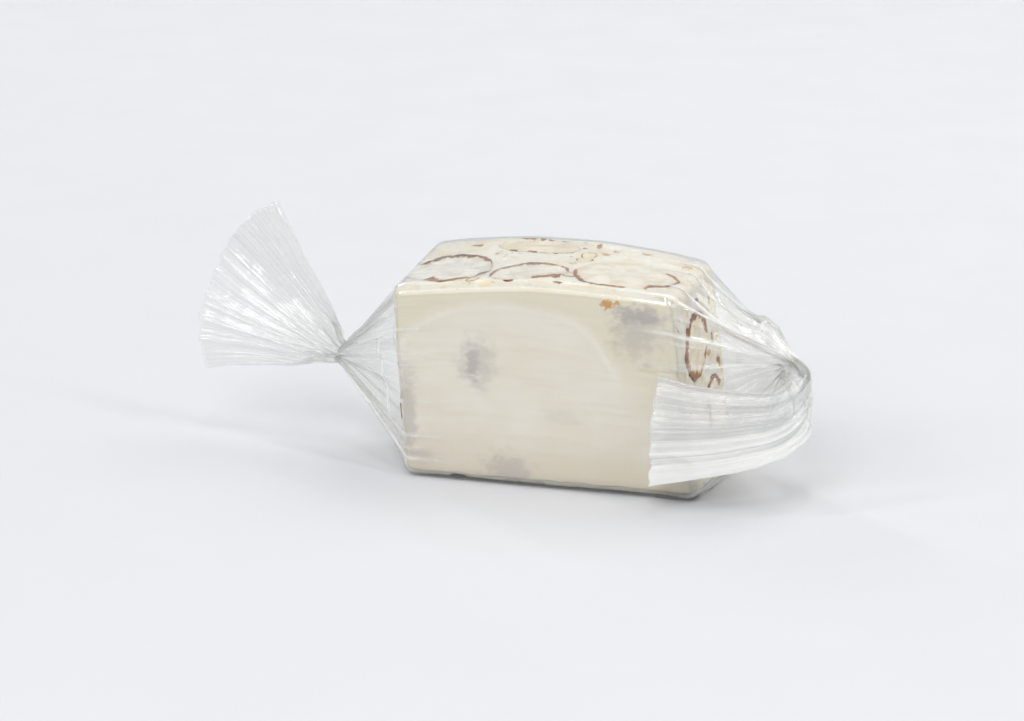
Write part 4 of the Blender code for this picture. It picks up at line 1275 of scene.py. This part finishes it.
filmLook = {
    "clear": (0.978, 0.980, 0.976, 1.0), "haze": (0.95, 0.95, 0.94, 1.0), "facingShine": 0.04,
    "roughness": 0.075, "leastHaze": 0.010, "streakHaze": 0.11, "foldHazeAndHighlight": 0.62, "grazing": 5.0,
    "streakStretch": (110, 3.0, 1), "streaks": (1.0, 5.0, 0.65), "streakRange": (0.45, 0.75),
    "dents": (230, 3.0, 0.5, 0.6),
}


# Clear film: see-through, with a thin white haze along streaks, and a white along folds, bold creases and the
# right flap that is partly whitened film and partly painted highlight; a sharp shine grows towards grazing
# angles as 0.04 + 0.96 * facing^5
def filmFinish():
    sketch = MaterialSketch("clear_film")
    uv = sketch.add("ShaderNodeTexCoord").outputs["UV"]
    place = sketch.add("ShaderNodeTexCoord").outputs["Object"]
    gathered = sketch.number("gathered")
    folds = sketch.number("folds")
    streaks = sketch.noise(sketch.mapped(uv, scale=filmLook["streakStretch"]), *filmLook["streaks"])
    dents = sketch.noise(place, *filmLook["dents"])
    height = sketch.math("MULTIPLY_ADD", dents, 0.5, sketch.times(streaks, gathered))
    normal = sketch.bump(height, 0.5, 0.0003)
    facing = sketch.add("ShaderNodeLayerWeight", Blend=0.5, Normal=normal).outputs["Facing"]
    straight = filmLook["facingShine"]
    grazing = sketch.math("POWER", facing, filmLook["grazing"])
    fresnel = sketch.math("MULTIPLY_ADD", grazing, 1 - straight, straight)
    least = filmLook["leastHaze"]
    streakHaze = sketch.ramp(streaks, *filmLook["streakRange"], least, filmLook["streakHaze"])
    streakHaze = sketch.times(streakHaze, gathered)
    # White along folds, bold creases and the flap: partly whitened film, partly painted highlight
    foldHazeAndHighlight = sketch.math("MULTIPLY_ADD", folds, filmLook["foldHazeAndHighlight"], streakHaze)
    clear = sketch.add("ShaderNodeBsdfTransparent", Color=filmLook["clear"])
    haze = sketch.add("ShaderNodeBsdfDiffuse", Color=filmLook["haze"], Normal=normal)
    shine = sketch.add("ShaderNodeBsdfAnisotropic", Normal=normal)
    shine.inputs["Color"].default_value = (1, 1, 1, 1)
    shine.inputs["Roughness"].default_value = filmLook["roughness"]
    body = sketch.add("ShaderNodeMixShader", Fac=sketch.math("ADD", foldHazeAndHighlight, least))
    whole = sketch.add("ShaderNodeMixShader", Fac=fresnel)
    for mixer, first, second in ((body, clear, haze), (whole, body, shine)):
        sketch.feed(mixer, "1", first.outputs[0])
        sketch.feed(mixer, "2", second.outputs[0])
    return sketch.finish(whole)


# The front tone is painted shade that evens out the stronger lamp light near the front
floorColours = {"front": (212, 213, 216), "back": (229, 230, 233), "clouds": (205, 206, 210)}


# The floor: pale grey, a little lighter towards the back as painted shade that evens out the stronger lamp
# light at the front, with faint clouds
def floorFinish():
    sketch = MaterialSketch("pale_floor")
    place = sketch.objectPlace()
    back = sketch.add("ShaderNodeSeparateXYZ", Vector=place).outputs["Y"]
    tone = tonesOf(floorColours)
    colour = sketch.mix(sketch.ramp(back, -0.12, 0.35), tone["front"], tone["back"])
    colour = sketch.mix(sketch.tone(place, 60, 0.3, 0.7, 0.1)["Mask"], colour, tone["clouds"])
    return sketch.principled(colour, None, Roughness=0.7)


# Floor, light and camera

studio = {
    "azimuth": 17, "elevation": 16, "distance": 0.54, "lens": 150, "lookAt": (-0.0065, 0.0, 0.0135),
    "worldStrength": 0.32, "worldColour": (0.96, 0.975, 1.0, 1), "lampsAim": (0, 0, 0.012),
    "sweepRadius": 0.5, "sweepStart": 0.7, "sweepWidth": 6.0, "sweepFront": -4.0, "sweepTop": 3.0,
}
white, strip = (1.0, 1.0, 1.0), (0.05, 0.30)
lamps = {
    "key": {"place": (0.40, 0.40, 0.85), "size": (0.90, 0.90), "power": 5.2, "colour": (1.0, 0.985, 0.96)},
    "fill": {"place": (-0.28, -0.86, 0.72), "size": (1.1, 0.7), "power": 3.3, "colour": (0.98, 0.985, 1.0)},
    "window": {
        "place": (0.02, -0.66, 0.58), "size": (0.30, 0.20), "power": 2.1, "colour": (1.0, 0.995, 0.985),
    },
    "stripRight": {"place": (0.55, -0.25, 0.55), "size": strip, "power": 1.0, "colour": white},
    "stripLeft": {"place": (-0.60, -0.45, 0.55), "size": strip, "power": 1.0, "colour": white},
    "stripBack": {"place": (-0.55, 0.45, 0.45), "size": strip, "power": 0.8, "colour": white},
    "stripHigh": {"place": (0.10, -0.30, 0.95), "size": strip, "power": 0.9, "colour": white},
}


# The floor runs back flat, curves up through a quarter
# circle and goes on as a wall: a profile carried across
def makeFloor():
    turns = np.linspace(0, math.pi / 2, 25)
    radius = studio["sweepRadius"]
    profile = np.stack([studio["sweepStart"] + radius * np.sin(turns), radius * (1 - np.cos(turns))], axis=1)
    top = [(profile[-1, 0], studio["sweepTop"])]
    profile = np.concatenate([[(studio["sweepFront"], 0)], profile, top])
    half = studio["sweepWidth"] / 2
    rows = [np.stack([np.full(len(profile), x), profile[:, 0], profile[:, 1]], axis=1) for x in (-half, half)]
    points = np.stack(rows, axis=1).reshape(-1, 3)
    mesh = bpy.data.meshes.new("floor")
    mesh.from_pydata(points.tolist(), [], gridFaces(len(profile), 2).tolist())
    mesh.materials.append(floorFinish())
    mesh.shade_smooth()
    floor = bpy.data.objects.new("floor", mesh)
    bpy.context.scene.collection.objects.link(floor)


# Puts a lamp or camera at its place, with its -Z towards the target
def aim(thing, place, target):
    thing.location = place
    thing.rotation_euler = (Vector(target) - Vector(place)).to_track_quat("-Z", "Y").to_euler()


def makeLights():
    world = bpy.data.worlds.new("studio")
    bpy.context.scene.world = world
    world.use_nodes = True
    background = world.node_tree.nodes["Background"]
    background.inputs["Color"].default_value = studio["worldColour"]
    background.inputs["Strength"].default_value = studio["worldStrength"]
    for name, lamp in lamps.items():
        light = bpy.data.lights.new(name, "AREA")
        light.shape = "RECTANGLE"
        light.size, light.size_y = lamp["size"]
        light.energy = lamp["power"]
        light.color = lamp["colour"]
        thing = bpy.data.objects.new(name, light)
        bpy.context.scene.collection.objects.link(thing)
        aim(thing, lamp["place"], studio["lampsAim"])


def makeCamera():
    camera = bpy.data.cameras.new("camera")
    camera.lens = studio["lens"]
    thing = bpy.data.objects.new("camera", camera)
    bpy.context.scene.collection.objects.link(thing)
    azimuth, elevation = math.radians(studio["azimuth"]), math.radians(studio["elevation"])
    level = math.cos(elevation)
    away = Vector((math.sin(azimuth) * level, -math.cos(azimuth) * level, math.sin(elevation)))
    aim(thing, Vector(studio["lookAt"]) + away * studio["distance"], studio["lookAt"])
    bpy.context.scene.camera = thing


def setLook():
    scene = bpy.context.scene
    scene.view_settings.view_transform = "Standard"
    scene.cycles.transparent_max_bounces = 48  # the tails put many walls of film behind each other
    scene.cycles.max_bounces = 5
    scene.cycles.diffuse_bounces = 2
    scene.cycles.glossy_bounces = 2


setLook()
makeFloor()
makeLights()
makeCamera()
report("floor, lights and camera")
makeNougat(nougatFinish())
report("nougat")
almondMaterial = almondFinish()
for almondName, almondValues in almonds.items():
    makeAlmond(almondName, almondValues, almondMaterial)
report("almonds")
makeWafer("wafer_sheet_front", -1, "wafer_front", waferFinish("front_wafer", "front"), 81)
makeWafer("wafer_sheet_back", 1, "wafer_back", waferFinish("back_wafer", "back"), 91)
report("wafers")
makeFilm(filmFinish())
report("film")
